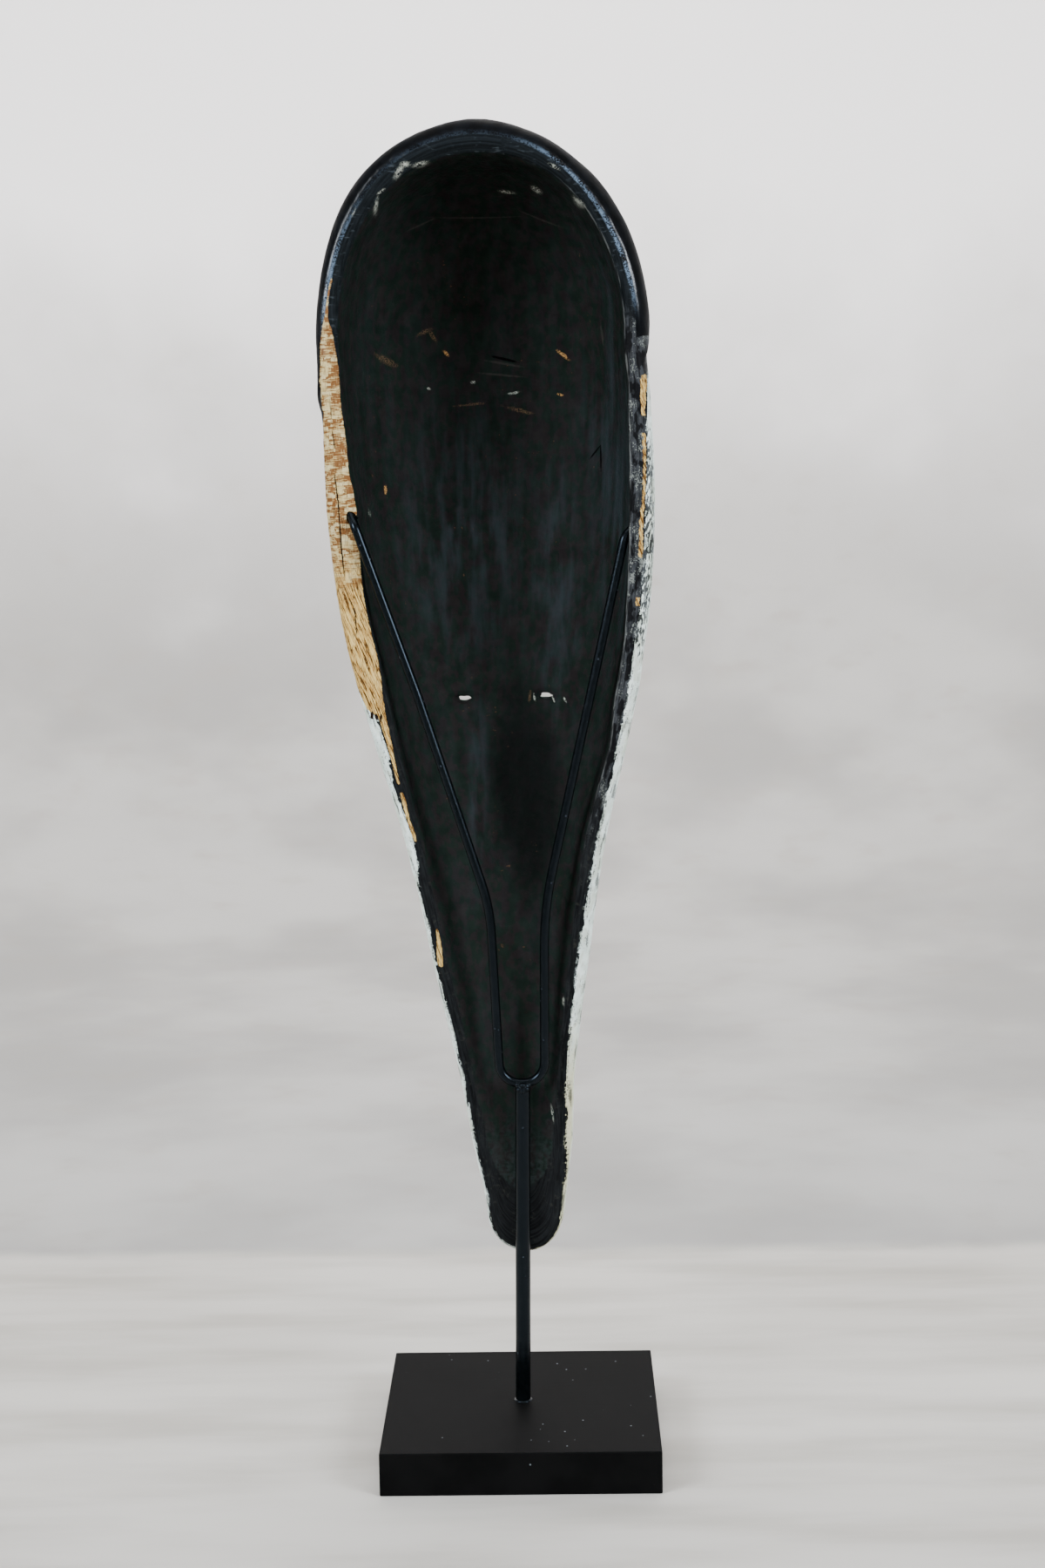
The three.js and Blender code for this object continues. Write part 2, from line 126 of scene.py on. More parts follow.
class Paint:
    # one material and the tools that fill it
    def __init__(self, name):
        self.material = bpy.data.materials.new(name)
        self.material.use_nodes = True
        self.tree = self.material.node_tree
        self.shader = self.tree.nodes["Principled BSDF"]
        self.place = self.node("ShaderNodeTexCoord", output="Object")

    def node(self, kind, settings=None, values=None, output=0):
        made = self.tree.nodes.new(kind)
        for name, setting in (settings or {}).items():
            setattr(made, name, setting)
        for name, value in (values or {}).items():
            self.feed(made.inputs[name], value)
        return Wire(self, made.outputs[output])

    def feed(self, socket, value):
        if isinstance(value, Wire):
            self.tree.links.new(value.socket, socket)
        else:
            socket.default_value = value

    # the place seen from a centre, turned about y and measured in sizes along x, y and z, all in millimetres
    def seenFrom(self, sizes, centre=(0, 0, 0), turn=0, where=None):
        values = {"Vector": where or self.place, "Location": [value / 1000 for value in centre]}
        values.update({"Rotation": (0, math.radians(turn), 0), "Scale": [size / 1000 for size in sizes]})
        return self.node("ShaderNodeMapping", {"vector_type": "TEXTURE"}, values)

    # soft noise; size in millimetres, stretched along x, y and z
    def noise(self, size, stretch=(1, 1, 1), detail=2.0, twist=0.0, turn=0, where=None):
        spot = self.seenFrom([size * share for share in stretch], turn=turn, where=where)
        values = {"Vector": spot, "Scale": 1.0, "Detail": detail, "Distortion": twist}
        return self.node("ShaderNodeTexNoise", {}, values)

    # distance to the nearest of scattered spots, in their own size
    def spots(self, size):
        values = {"Vector": self.seenFrom((size, size, size)), "Scale": 1.0}
        return self.node("ShaderNodeTexVoronoi", {}, values)

    # square cells, each with a level of its own from 0 to 1
    def blocks(self, sizes, where):
        values = {"Vector": self.seenFrom(sizes, where=where), "Scale": 1.0, "Randomness": 0.7}
        return self.node("ShaderNodeTexVoronoi", {"distance": "CHEBYCHEV"}, values, "Color")

    # oval marks: 1 inside, 0 outside, with edges as ragged as the given noise; they fade out within the reach
    def blots(self, rows, ragged=0.0, soft=0.12):
        reach, share = 4, 0.0
        edge = ragged + reach
        for centre, sizes, turn in rows:
            spot = self.seenFrom([size * reach for size in sizes], centre, turn)
            near = self.node("ShaderNodeTexGradient", {"gradient_type": "SPHERICAL"}, {"Vector": spot}, "Fac")
            share = self.rise(edge - near * reach, 1 + soft, 1 - soft).atLeast(share)
        return share

    def rise(self, value, low, high):
        values = {"Value": value, "From Min": low, "From Max": high}
        return self.node("ShaderNodeMapRange", {"interpolation_type": "SMOOTHSTEP"}, values)

    # from the first colour to the second; a colour is a value of the material or a screen colour
    def mix(self, share, first, second):
        first, second = (tint(*tone) if isinstance(tone, tuple) else tone for tone in (first, second))
        return self.node("ShaderNodeMix", {"data_type": "RGBA"}, {0: share, 6: first, 7: second}, 2)

    def fade(self, share, first, second):
        return self.node("ShaderNodeMix", {"data_type": "FLOAT"}, {0: share, 2: first, 3: second})

    def field(self, name):
        return self.node("ShaderNodeAttribute", {"attribute_name": name}, output="Fac")

    # the finish itself; height in millimetres
    def finish(self, colour, roughness, height=None, **constants):
        self.feed(self.shader.inputs["Base Color"], colour)
        self.feed(self.shader.inputs["Roughness"], roughness)
        if height is not None:
            normal = self.node("ShaderNodeBump", {}, {"Strength": 1.0, "Distance": 0.001, "Height": height})
            self.feed(self.shader.inputs["Normal"], normal)
        for name, value in constants.items():
            self.feed(self.shader.inputs[name], value)
        return self.material


def meshObject(name, points, faces, material=None):
    mesh = bpy.data.meshes.new(name)
    mesh.from_pydata([tuple(point) for point in points], [], faces)
    mesh.polygons.foreach_set("use_smooth", [True] * len(mesh.polygons))
    if material:
        mesh.materials.append(material)
    mesh.update()
    return placed(name, mesh)


# the object's modifiers baked into a plain mesh, which takes its place
def settled(made):
    bpy.context.view_layer.update()
    evaluated = made.evaluated_get(bpy.context.evaluated_depsgraph_get())
    mesh = bpy.data.meshes.new_from_object(evaluated)
    name = made.name
    bpy.data.objects.remove(made)
    mesh.name = name
    return placed(name, mesh)


# the faces of a closed tube whose points go round it ring by ring
def tubeFaces(rings, sides):
    faces = []
    for ring in range(rings - 1):
        for i in range(sides):
            a, b = ring * sides + i, ring * sides + (i + 1) % sides
            faces.append((a, b, b + sides, a + sides))
    faces.append(tuple(range(sides))[::-1])
    faces.append(tuple(range((rings - 1) * sides, rings * sides)))
    return faces


# a bmesh turned into a mesh of its own
def meshOf(name, work):
    mesh = bpy.data.meshes.new(name)
    work.to_mesh(mesh)
    work.free()
    return mesh


carving = {
    "length": 737.8,
    "halfWidth": 104.3,
    "crownStart": 602,
    "chinHalfWidth": 25.3,
    "chinDrop": 27,
    "crownPower": 2.15,
    "sectionPower": 2.2,
    "widestAt": 24,
    "widestShare": 0.3,  # of the depth, where the mask is shallow
    "chinAt": (1.6, 5.6, 127),
    "chinShift": 2.6,
    "chinShiftReach": 200,
    "leanToLeft": 1.7,  # degrees
    "turnToRight": 4,
    "crownRimWidth": 21,
    "hollowEnd": 45,
    "hollowEndCentre": 90,
    "rimInset": 5.6,
    "crownRimInset": 8.6,
    "insetRise": (600, 700),  # heights between which the lower inset becomes the crown's
    "rimBevel": 0.8,
    "crownRimBevel": 5,
    "bevelRise": (520, 660),
    "edgePower": 2.6,
    # the crown isn't quite round: degrees from its middle and how far the outline moves out
    "crownTrim": [
        (-90, 1.7), (-60, 1.6), (-48, 1.9), (-36, 1.7), (-24, 1.2), (-12, 0.5), (-3, 1.2), (0, 1.3), (6, 0.3),
        (14, -1.3), (22, -1.9), (31, -2.9), (38, -2.6), (48, -1.8), (58, -0.4), (70, 0.6), (90, 1.2),
    ],
    "trimStart": (548, 572, 590, 615),
    # the same lower down: height, left and right
    "sideTrim": [
        (15, 0, 0), (35, 1.2, 2.0), (51, 1.7, 2.8), (111, 1.7, 1.8), (141, 2.2, 2.0), (177, 2.1, 2.2),
        (261, 1.9, 2.0), (297, 1.6, 2.2), (369, 0, 1.1), (400, 0, 0),
    ],
    "trimPower": 8,
    "eyeHeight": 367.5,
    "eyeSpread": 27.5,
    # ovals on the face: height over it, half width, half height and how square they are
    "eyelid": (3.6, 21, 12, 1.7),
    "eyeHollow": (3, 15, 6, 2),
    "lips": (9, 23, 16, 2),
    "mouth": (6.5, 17, 4.4, 2.6),
    "mouthHeight": 126.5,
    "browFoot": 456,
    "browCrest": 470,
    "browRise": 60,
    "browArch": 26,
    "browArchWidth": 36,
    "browDrop": 10,
    "browEnds": 72,
    "browSlope": 0.5,
    "browReach": 90,
    "faceCurve": (4, 62),  # how deep the face curves and how far from its middle
    "faceBlend": 5,
    "noseTip": 212,
    "noseUnder": 8,
    "noseFoot": 4,
    "nosePower": 1.9,
    "noseLimit": 1.3,
    "noseBlend": 3,
    "capEdge": (577, 583),
    "capMiddle": 580,
    "capArch": 72,
    "capTilt": 19,
    "capProud": 2.2,
    "capReach": 150,
    "sideWidths": [
        (27, 25.3), (80, 32.2), (130, 38), (190, 48.4), (250, 59), (290, 67.5), (340, 81.5), (390, 94.2),
        (440, 102.2), (500, 106.6), (560, 106), (602, 104.3),
    ],
    "profile": [
        (27, 40), (60, 46), (110, 53), (160, 58), (215, 64), (300, 80), (371, 95), (450, 112), (520, 122),
        (602, 126),
    ],
    "faceRecess": [(60, 0), (90, 2), (160, 7), (215, 12), (300, 17), (371, 20), (450, 22)],
    "leftRimWidths": [
        (90, 9), (200, 11), (257, 12), (300, 13.5), (335, 16.5), (370, 19.5), (398, 21.5), (430, 21),
        (455, 20.5), (475, 21), (500, 21.3), (522, 18.6), (545, 16.9), (570, 14.5), (602, 13.5),
    ],
    "rightRimWidths": [
        (90, 9), (200, 12), (257, 13.4), (310, 11.9), (337, 10.5), (370, 13.7), (404, 14), (430, 15),
        (500, 16), (570, 13.6), (602, 13.5),
    ],
    "innerSoftness": [
        (0, 5), (260, 4.5), (330, 1.8), (420, 1.2), (560, 1.2), (620, 2.4), (690, 4.5), (738, 5),
    ],
    "hollowDepths": [
        (45, 2), (110, 6), (160, 11), (210, 19), (270, 33), (330, 49), (371, 59), (430, 76), (500, 95),
        (560, 106), (602, 108),
    ],
    "hollowPowers": [(110, 1.9), (300, 2.1), (450, 2.5), (602, 2.5)],
    "noseHalfWidths": [(208, 17), (226, 17), (262, 12), (330, 9.5), (400, 9.5), (450, 14)],
    "noseRidge": [(212, 78), (450, 113)],
    # the groove behind the nose: depth, half width at the chin and its growth, and where it starts and ends
    "trough": {"depth": 6, "half": 12, "growth": 0.05, "start": (215, 270), "end": (420, 470)},
}


# a smooth curve through (place, value) points, level at both ends
def through(points):
    at, value = np.array(points, float).T
    slope = np.zeros_like(value)
    slope[1:-1] = (value[2:] - value[:-2]) / (at[2:] - at[:-2])

    def curve(place):
        spot = np.clip(place, at[0], at[-1])
        i = np.clip(np.searchsorted(at, spot, side="right") - 1, 0, len(at) - 2)
        span = at[i + 1] - at[i]
        t = (spot - at[i]) / span
        level = value[i] * (2 * t**3 - 3 * t**2 + 1) + value[i + 1] * (3 * t**2 - 2 * t**3)
        return level + span * (slope[i] * (t**3 - 2 * t**2 + t) + slope[i + 1] * (t**3 - t**2))

    return curve


halfWidth = through(carving["sideWidths"])
profileDepth = through(carving["profile"])
faceRecess = through(carving["faceRecess"])
leftRimWidth = through(carving["leftRimWidths"])
rightRimWidth = through(carving["rightRimWidths"])
innerSoftness = through(carving["innerSoftness"])
hollowDepth = through(carving["hollowDepths"])
hollowPower = through(carving["hollowPowers"])
noseHalfWidth = through(carving["noseHalfWidths"])
noseRidge = through(carving["noseRidge"])
crownTrim = through(carving["crownTrim"])
leftTrim = through([(v, left) for v, left, right in carving["sideTrim"]])
rightTrim = through([(v, right) for v, left, right in carving["sideTrim"]])


def step(low, high, value):
    t = np.clip((value - low) / (high - low), 0, 1)
    return t * t * (3 - 2 * t)


def bump(distance):
    return np.clip(1 - np.square(distance), 0, 1) ** 2


def softMin(a, b, blend):
    share = np.clip(0.5 + 0.5 * (b - a) / blend, 0, 1)
    return b + (a - b) * share - blend * share * (1 - share)


def superRadius(a, b, power):
    return (np.abs(a) ** power + np.abs(b) ** power) ** (1 / power)


def rounded(radius, power):
    return np.clip(1 - radius**power, 0, 1) ** (1 / power)


def hollowHalfWidth(v, side):
    return halfWidth(v) - np.where(side < 0, leftRimWidth(v), rightRimWidth(v))


# how far out a point lies, from 0 on the middle line to 1 on the outline
def outlineRadius(x, v):
    start = carving["crownStart"]
    rise = carving["length"] - start
    crown = superRadius(x / carving["halfWidth"], np.maximum(v - start, 0) / rise, carving["crownPower"])
    drop = carving["chinDrop"]
    chin = superRadius(x / carving["chinHalfWidth"], np.maximum(drop - v, 0) / drop, 2)
    return np.where(v > start, crown, np.where(v < drop, chin, np.abs(x) / halfWidth(v)))


def hollowRadius(x, v):
    start = carving["crownStart"]
    rise = carving["length"] - carving["crownRimWidth"] - start
    crown = superRadius(x / hollowHalfWidth(start, x), np.maximum(v - start, 0) / rise, carving["crownPower"])
    centre = carving["hollowEndCentre"]
    reach = centre - carving["hollowEnd"]
    low = superRadius(x / hollowHalfWidth(centre, x), np.maximum(centre - v, 0) / reach, 2)
    return np.where(v > start, crown, np.where(v < centre, low, np.abs(x) / hollowHalfWidth(v, x)))


def widestDepth(v):
    return np.minimum(carving["widestAt"], carving["widestShare"] * profileDepth(v))


def blank(x, v):
    low = widestDepth(v)
    return low + (profileDepth(v) - low) * rounded(outlineRadius(x, v), carving["sectionPower"])


# the outline's unevenness: points move outwards, least in the middle of the mask
def trimmed(points):
    x, v = points[..., 0], points[..., 2]
    up = np.maximum(v - carving["crownStart"], 0)
    leftLow, leftHigh, rightLow, rightHigh = carving["trimStart"]
    high = np.where(x < 0, step(leftLow, leftHigh, v), step(rightLow, rightHigh, v))
    share = np.clip(outlineRadius(x, v), 0, 1) ** carving["trimPower"]
    move = crownTrim(np.degrees(np.arctan2(x, up))) * high * share / np.maximum(np.hypot(x, up), 1)
    sideways = np.where(x < 0, -leftTrim(v), rightTrim(v)) * share
    return points + np.stack([x * move + sideways, 0 * x, up * move], axis=-1)


# level rows bend to follow the brow arches and the cap's edge
def bentRow(x, row):
    across = np.abs(x)
    arch = carving["browArch"] * np.sin(np.minimum(across / carving["browArchWidth"], 2) * 0.5 * np.pi)
    arch = arch - carving["browDrop"] - carving["browSlope"] * np.maximum(across - carving["browEnds"], 0)
    side = x / carving["halfWidth"]
    cap = carving["capArch"] * np.maximum(0, 1 - side**2) + carving["capTilt"] * side
    edge, crest = carving["capEdge"][0], carving["browCrest"]
    reach = np.where(row < edge, edge - crest, carving["capReach"])
    return row + arch * bump((row - crest) / carving["browReach"]) + cap * bump((row - edge) / reach)


def faceFloor(x, v):
    curve, reach = carving["faceCurve"]
    return profileDepth(v) - faceRecess(v) + curve * (x / reach) ** 2


def nose(x, v, row):
    tip, foot = carving["noseTip"], faceFloor(0, v) - carving["noseFoot"]
    under = tip - carving["noseUnder"]
    flank = np.abs(x) / noseHalfWidth(v)
    form = foot + (noseRidge(v) - foot) * (1 - flank ** carving["nosePower"]) * step(under, tip, v)
    outside = (flank > carving["noseLimit"]) | (v < under)
    return np.where(outside | (row > carving["browCrest"] - carving["noseFoot"]), 0, form)


# an oval swelling, seen from its own middle
def oval(x, rise, name):
    height, halfAcross, halfUp, power = carving[name]
    return height * bump(superRadius(x / halfAcross, rise / halfUp, power))


def front(x, v, row):
    floor = faceFloor(x, v) + carving["browRise"] * step(carving["browFoot"], carving["browCrest"], row)
    rise = v - carving["mouthHeight"]
    mouth = oval(x, rise, "lips") - oval(x, rise, "mouth")
    eyelids = oval(np.abs(x) - carving["eyeSpread"], v - carving["eyeHeight"], "eyelid")
    face = softMin(blank(x, v), floor, carving["faceBlend"]) + mouth + eyelids
    return -softMin(-face, -nose(x, v, row), carving["noseBlend"])


def hollow(x, v, edgeDepth):
    side, groove = np.abs(x), carving["trough"]
    trough = groove["depth"] * bump(side / (groove["half"] + groove["growth"] * v))
    trough = trough * step(*groove["start"], v) * (1 - step(*groove["end"], v))
    floor = (hollowDepth(v) - edgeDepth) * rounded(hollowRadius(x, v), hollowPower(v))
    eye = oval(side - carving["eyeSpread"], v - carving["eyeHeight"], "eyeHollow")
    return edgeDepth + floor + trough + eye


mesh = {
    "chinRays": 12,
    "crownRays": 76,
    # from height, to height and how many rays
    "sideRays": [
        (27, 204, 76), (204, 212, 6), (212, 340, 56), (340, 577, 152), (577, 583, 6), (583, 602, 12),
    ],
    "joinHeight": 110,  # under it the rays of the outline and of the hollow part company
    "chinArc": 41,
    "hollowArc": 56,
    "faceColumns": 50,
    "noseColumns": 16,
    "noseSpread": 1.25,
    "noseShare": 0.45,  # the most of the half width that the nose's own columns take up
    "faceSpacing": 1.15,
    "edgeColumns": 9,
    "rimColumns": 14,
    "hollowColumns": 42,
    "hollowSpacing": 0.8,
    "pullPower": 8,  # how fast the pull back onto the outline fades away from it
    "mergePerMm": 500,  # points closer than one part of this are one point
    "softColumns": 24,
    "softPoints": 9,
}


# rays on one half from the chin's tip to the crown: edge x, edge v, middle, and the same in the hollow
def halfRays(side):
    drop, start, power = carving["chinDrop"], carving["crownStart"], carving["crownPower"]
    joinHeight, chinArc, endArc = mesh["joinHeight"], mesh["chinArc"], mesh["hollowArc"]
    centre = carving["hollowEndCentre"]
    across = float(hollowHalfWidth(centre, side))
    lowEdge = chinArc + joinHeight - drop
    lowHollow = endArc + joinHeight - centre

    def lowPartner(walked):
        way = walked / lowEdge * lowHollow
        if way <= endArc:
            angle = 0.5 * math.pi * (1 - way / endArc)
            fall = (centre - carving["hollowEnd"]) * math.sin(angle)
            return [across * math.cos(angle), centre - fall, centre]
        v = centre + way - endArc
        return [float(hollowHalfWidth(v, side)), v, v]

    rays = []
    for i in range(mesh["chinRays"]):
        angle = 0.5 * math.pi * (1 - i / mesh["chinRays"])
        edge = [carving["chinHalfWidth"] * math.cos(angle), drop - drop * math.sin(angle), drop]
        rays.append(edge + lowPartner(chinArc * i / mesh["chinRays"]))
    heights = [drop]
    for low, high, count in mesh["sideRays"]:
        heights += list(np.linspace(low, high, count + 1)[1:])
    for v in heights:
        partner = [float(hollowHalfWidth(v, side)), v, v]
        if v < joinHeight:
            partner = lowPartner(chinArc + v - drop)
        rays.append([float(halfWidth(v)), v, v] + partner)
    rise = carving["length"] - start
    for i in range(1, mesh["crownRays"] + 1):
        angle = 0.5 * math.pi * i / mesh["crownRays"]
        x, up = abs(math.cos(angle)) ** (2 / power), math.sin(angle) ** (2 / power)
        edge = [carving["halfWidth"] * x, start + rise * up, start]
        innerUp = (rise - carving["crownRimWidth"]) * up
        rays.append(edge + [float(hollowHalfWidth(start, side)) * x, start + innerUp, start])
    return np.array(rays)


# the edge between rim and hollow rounded off: points near that column move to the mean around them
def softened(points, column, reach):
    walked = np.zeros(points.shape[:2])
    walked[:, 1:] = np.cumsum(np.linalg.norm(np.diff(points, axis=1), axis=-1), axis=1)
    shifts = np.linspace(-2, 2, mesh["softPoints"])
    weights = np.exp(-0.5 * shifts**2)
    weights /= weights.sum()
    near = slice(column - mesh["rimColumns"], column + mesh["softColumns"])
    result = points.copy()
    for ray in range(len(points)):
        spots = walked[ray, near]
        share = bump((spots - walked[ray, column]) / (4 * reach[ray]))
        around = spots + shifts[:, None] * reach[ray]
        for axis in range(3):
            mean = weights @ np.interp(around, walked[ray], points[ray, :, axis])
            result[ray, near, axis] += share * (mean - points[ray, near, axis])
    return result


# the whole skin as a ring of rays; returns points (ray, column, xyz) and the fields that the paint follows
def carveSkin():
    half = halfRays(1)
    right = np.column_stack([np.ones(len(half)), half])
    half = halfRays(-1)
    left = np.column_stack([-np.ones(len(half) - 2), half[1:-1]])[::-1]
    side, edgeX, edgeV, middle, innerX, innerV, innerMiddle = (
        column[:, None] for column in np.vstack([right, left]).T
    )
    inset, bevel = carving["rimInset"], carving["rimBevel"]
    inset = inset + (carving["crownRimInset"] - inset) * step(*carving["insetRise"], edgeV)
    bevel = bevel + (carving["crownRimBevel"] - bevel) * step(*carving["bevelRise"], edgeV)
    reach = np.hypot(edgeX, edgeV - middle)

    # over the face, from the middle line to the outline
    noseEdge = np.minimum(noseHalfWidth(middle) / halfWidth(middle), mesh["noseShare"])
    near = np.linspace(0, mesh["noseSpread"], mesh["noseColumns"]) * noseEdge
    t = np.linspace(0, 1, mesh["faceColumns"] - mesh["noseColumns"] + 1)[1:]
    far = near[:, -1:] + (1 - near[:, -1:]) * np.sin(0.5 * np.pi * t ** mesh["faceSpacing"])
    turn = np.linspace(0, 0.5 * np.pi, mesh["edgeColumns"] + 1)[1:]
    edgePower = carving["edgePower"]
    tuck = 1 - np.cos(turn) ** (2 / edgePower)
    fall = np.sin(turn) ** (2 / edgePower)
    out = np.hstack([near, far, 1 - inset / reach * tuck])
    row = middle + (edgeV - middle) * out
    level = side * edgeX * out
    v = bentRow(level, row)
    straight = np.hstack([np.zeros_like(near), np.zeros_like(far), np.ones_like(inset) * fall])
    v = v + (row - v) * straight  # the rim plane isn't bent
    stray = out / np.maximum(outlineRadius(level, v), 0.01) - 1
    pull = out ** mesh["pullPower"] * stray * (1 - straight)
    x = level * (1 + pull)
    depth = front(x, v, row)
    faceCount = mesh["faceColumns"]
    depth[:, faceCount - 1] = widestDepth(v[:, faceCount - 1])
    depth[:, faceCount:] = widestDepth(edgeV) * (1 - fall)
    outward = np.stack([x, depth, v - np.minimum(v, carving["crownStart"])], axis=-1)
    outward /= np.maximum(np.linalg.norm(outward, axis=-1, keepdims=True), 1e-6)
    proud = carving["capProud"] * step(*carving["capEdge"], row) * (1 - straight**3)
    outer = np.stack([x, depth, v], axis=-1) + outward * proud[..., None]
    outerIn = np.where(straight > 0, inset * np.hstack([near * 0, far * 0, tuck + inset * 0]), 0)

    # the rim, from the rounded edge to the hollow
    t = np.linspace(0, 1, mesh["rimColumns"] + 2)[1:-1]
    startX, startV = edgeX * (1 - inset / reach), middle + (edgeV - middle) * (1 - inset / reach)
    rimX, rimV = startX + (innerX - startX) * t, startV + (innerV - startV) * t
    rim = np.stack([side * rimX, bevel * t**2, rimV + 0 * rimX], axis=-1)
    rimSpan = np.hypot(innerX - startX, innerV - startV)
    rimIn = inset + rimSpan * t

    # down the hollow to its middle line
    t = np.linspace(0, 1, mesh["hollowColumns"])
    out = np.cos(0.5 * np.pi * t) ** mesh["hollowSpacing"]
    out[-1] = 0
    x, v = side * innerX * out, innerMiddle + (innerV - innerMiddle) * out
    depth = hollow(x, v, bevel)
    depth[:, :1] = bevel
    inner = np.stack([x, depth, v + 0 * x], axis=-1)

    points = np.concatenate([outer, rim, inner], axis=1)
    firstInner = outer.shape[1] + rim.shape[1]
    points = softened(points, firstInner, innerSoftness(edgeV[:, 0]))
    swing = carving["chinShift"] * (1 - step(0, carving["chinShiftReach"], points[..., 2]))
    points[..., 0] += swing
    points = trimmed(points)
    along = np.linalg.norm(np.diff(points, axis=1), axis=-1)
    toEdge = np.cumsum(along[:, : faceCount - 1][:, ::-1], axis=1)[:, ::-1]
    outerIn[:, : faceCount - 1] = -toEdge
    innerIn = np.hstack([0 * inset, np.cumsum(along[:, firstInner:], axis=1)]) + inset + rimSpan
    inward = np.concatenate([outerIn, rimIn, innerIn], axis=1)
    inHollow = inward - (inset + rimSpan)
    capMiddle = carving["capMiddle"]
    aboveCap = points[..., 2] - capMiddle - carving["capTilt"] * points[..., 0] / carving["halfWidth"]
    aboveCap[:, :faceCount] = row[:, :faceCount] - capMiddle
    return points, {"inward": inward, "inHollow": inHollow, "aboveCap": aboveCap, "fromRidge": inward - inset}


# seeded smooth noise from about -1 to 1; size in millimetres, one number or three
def carvedNoise(points, size, seed):
    spot = points / np.asarray(size, float)
    cell = np.floor(spot).astype(np.int64)
    part = spot - cell
    weight = part**3 * (part * (part * 6 - 15) + 10)
    total = np.zeros(len(points))
    for corner in product((0, 1), repeat=3):
        at = cell + np.array(corner)
        key = (at[:, 0] * 73856093) ^ (at[:, 1] * 19349663) ^ (at[:, 2] * 83492791) ^ (seed * 2654435761)
        key = (key ^ (key >> 13)) * 1274126177 & 0xFFFFFFFF
        key = (key ^ (key >> 16)) * 668265263 & 0xFFFFFFFF
        slope = np.stack([(key >> shift & 1023) / 511.5 - 1 for shift in (0, 10, 20)], axis=-1)
        share = np.prod(np.where(np.array(corner), weight, 1 - weight), axis=1)
        total += share * np.sum(slope * (part - np.array(corner)), axis=1)
    return 1.6 * total


wear = {
    # bare wood on the back edge: height and how far in from the outline it starts, the same where it ends
    "leftBareFrom": [
        (645, 7.2), (631, 6.3), (622, 5.8), (617, 4.7), (612, 4.0), (608, 3.4), (602, 2.8), (591, 2.4),
        (583, 2.0), (571, 2.2), (563, 2.4), (560, 3.4), (552, 1.2), (530, 0.9), (480, 0.7), (400, 0.5),
        (385, 1.2), (374, 2.8), (367, 4.6), (363, 9.9), (347, 9.9), (336, 9.6), (324, 8.4), (318, 7.8),
    ],
    "leftBareTo": [
        (645, 8.4), (631, 7.4), (622, 7.5), (617, 8.2), (612, 10.0), (606, 10.8), (602, 11.2), (591, 12.7),
        (583, 13.7), (571, 14.3), (559, 14.7), (545, 16.7), (537, 17.7), (522, 17.9), (511, 20.3),
        (497, 21.2), (475, 20.9), (459, 19.6), (443, 18.8), (417, 19.4), (404, 20), (388, 19), (379, 17.1),
        (369, 15.6), (363, 14.7), (350, 13.4), (337, 12), (325, 10.3), (318, 9.9),
    ],
    # narrower strips: height, then how far in from the outline they start and end
    "leftStrip": [
        (313, 8.0, 9.6), (309, 7.6, 10.2), (304, 7.2, 9.5), (295, 6.7, 8.4), (289, 6.6, 8.9), (284, 6.7, 9.6),
        (280, 7.2, 8.8),
    ],
    "leftPatch": [(222, 7.6, 8.8), (216, 6.4, 9.2), (208, 5.1, 8.4), (199, 3.8, 6.9), (196, 4.2, 6.0)],
    "rightStrip": [(575, 1.4, 3.6), (569, 1.3, 5.2), (553, 3.0, 5.8), (549, 3.4, 5.6)],
    "rightLong": [
        (538, 3.4, 5.8), (514, 4.6, 6.4), (497, 5.6, 7.4), (481, 6.8, 9.0), (462, 6.3, 9.1), (459, 6.8, 8.6),
    ],
    "rightSpeck": [(434, 6.5, 8.8), (429, 6.3, 8.8)],
    # chalk on the back edge: height and how far in from the outline it reaches
    "leftChalk": [
        (563, 0.6), (546, 0.2), (515, 0.3), (473, 0.2), (405, 0.3), (382, 1.0), (369, 4.9), (362, 8.4),
        (353, 8.7), (347, 8.9), (336, 8.1), (330, 7.4), (318, 5.7), (307, 5.6), (295, 6.4), (284, 6.9),
        (272, 6.0), (263, 5.4), (255, 3.4), (240, 2.9), (228, 3.6), (193, 2.9), (150, 3.2), (90, 2.6),
        (0, 2.2),
    ],
    "rightChalk": [
        (600, -1.5), (591, -0.6), (569, 1.2), (547, 2.4), (514, 4.7), (481, 5.4), (459, 4.8), (431, 5.5),
        (403, 6.2), (370, 5.6), (336, 5.2), (314, 4.4), (291, 4.0), (257, 4.8), (200, 5.2), (172, 4.9),
        (111, 3.7), (70, 2.4), (51, 1.6), (0, 1.4),
    ],
    # the long split in the bare wood: height, place from the outline, half width
    "split": [
        (551, 7.6, -0.4), (548, 7.9, 0.3), (539, 9.3, 0.4), (535, 9.4, -0.4), (524, 8.4, -0.4),
        (520, 8.6, 0.35), (504, 9.8, 0.5), (490, 9.7, 0.45), (478, 9.0, 0.6), (467, 8.8, 0.5),
        (456, 8.3, 0.3), (448, 8.4, -0.3), (432, 11.4, 0.5), (419, 10.0, 0.4), (410, 9.8, -0.5),
    ],
    # how far the paint follows each measure, to either side
    "ranges": {
        "bare": (-20, 20), "chalk": (-20, 20), "inward": (-20, 40), "fromRidge": (-20, 20),
        "inHollow": (-30, 60), "aboveCap": (-60, 60), "split": (-20, 20),
    },
}


# a table of height and value read at the given heights, from the column that is asked for
def readTable(rows, v, column=1):
    table = np.array(sorted(rows))
    return np.interp(v, table[:, 0], table[:, column])


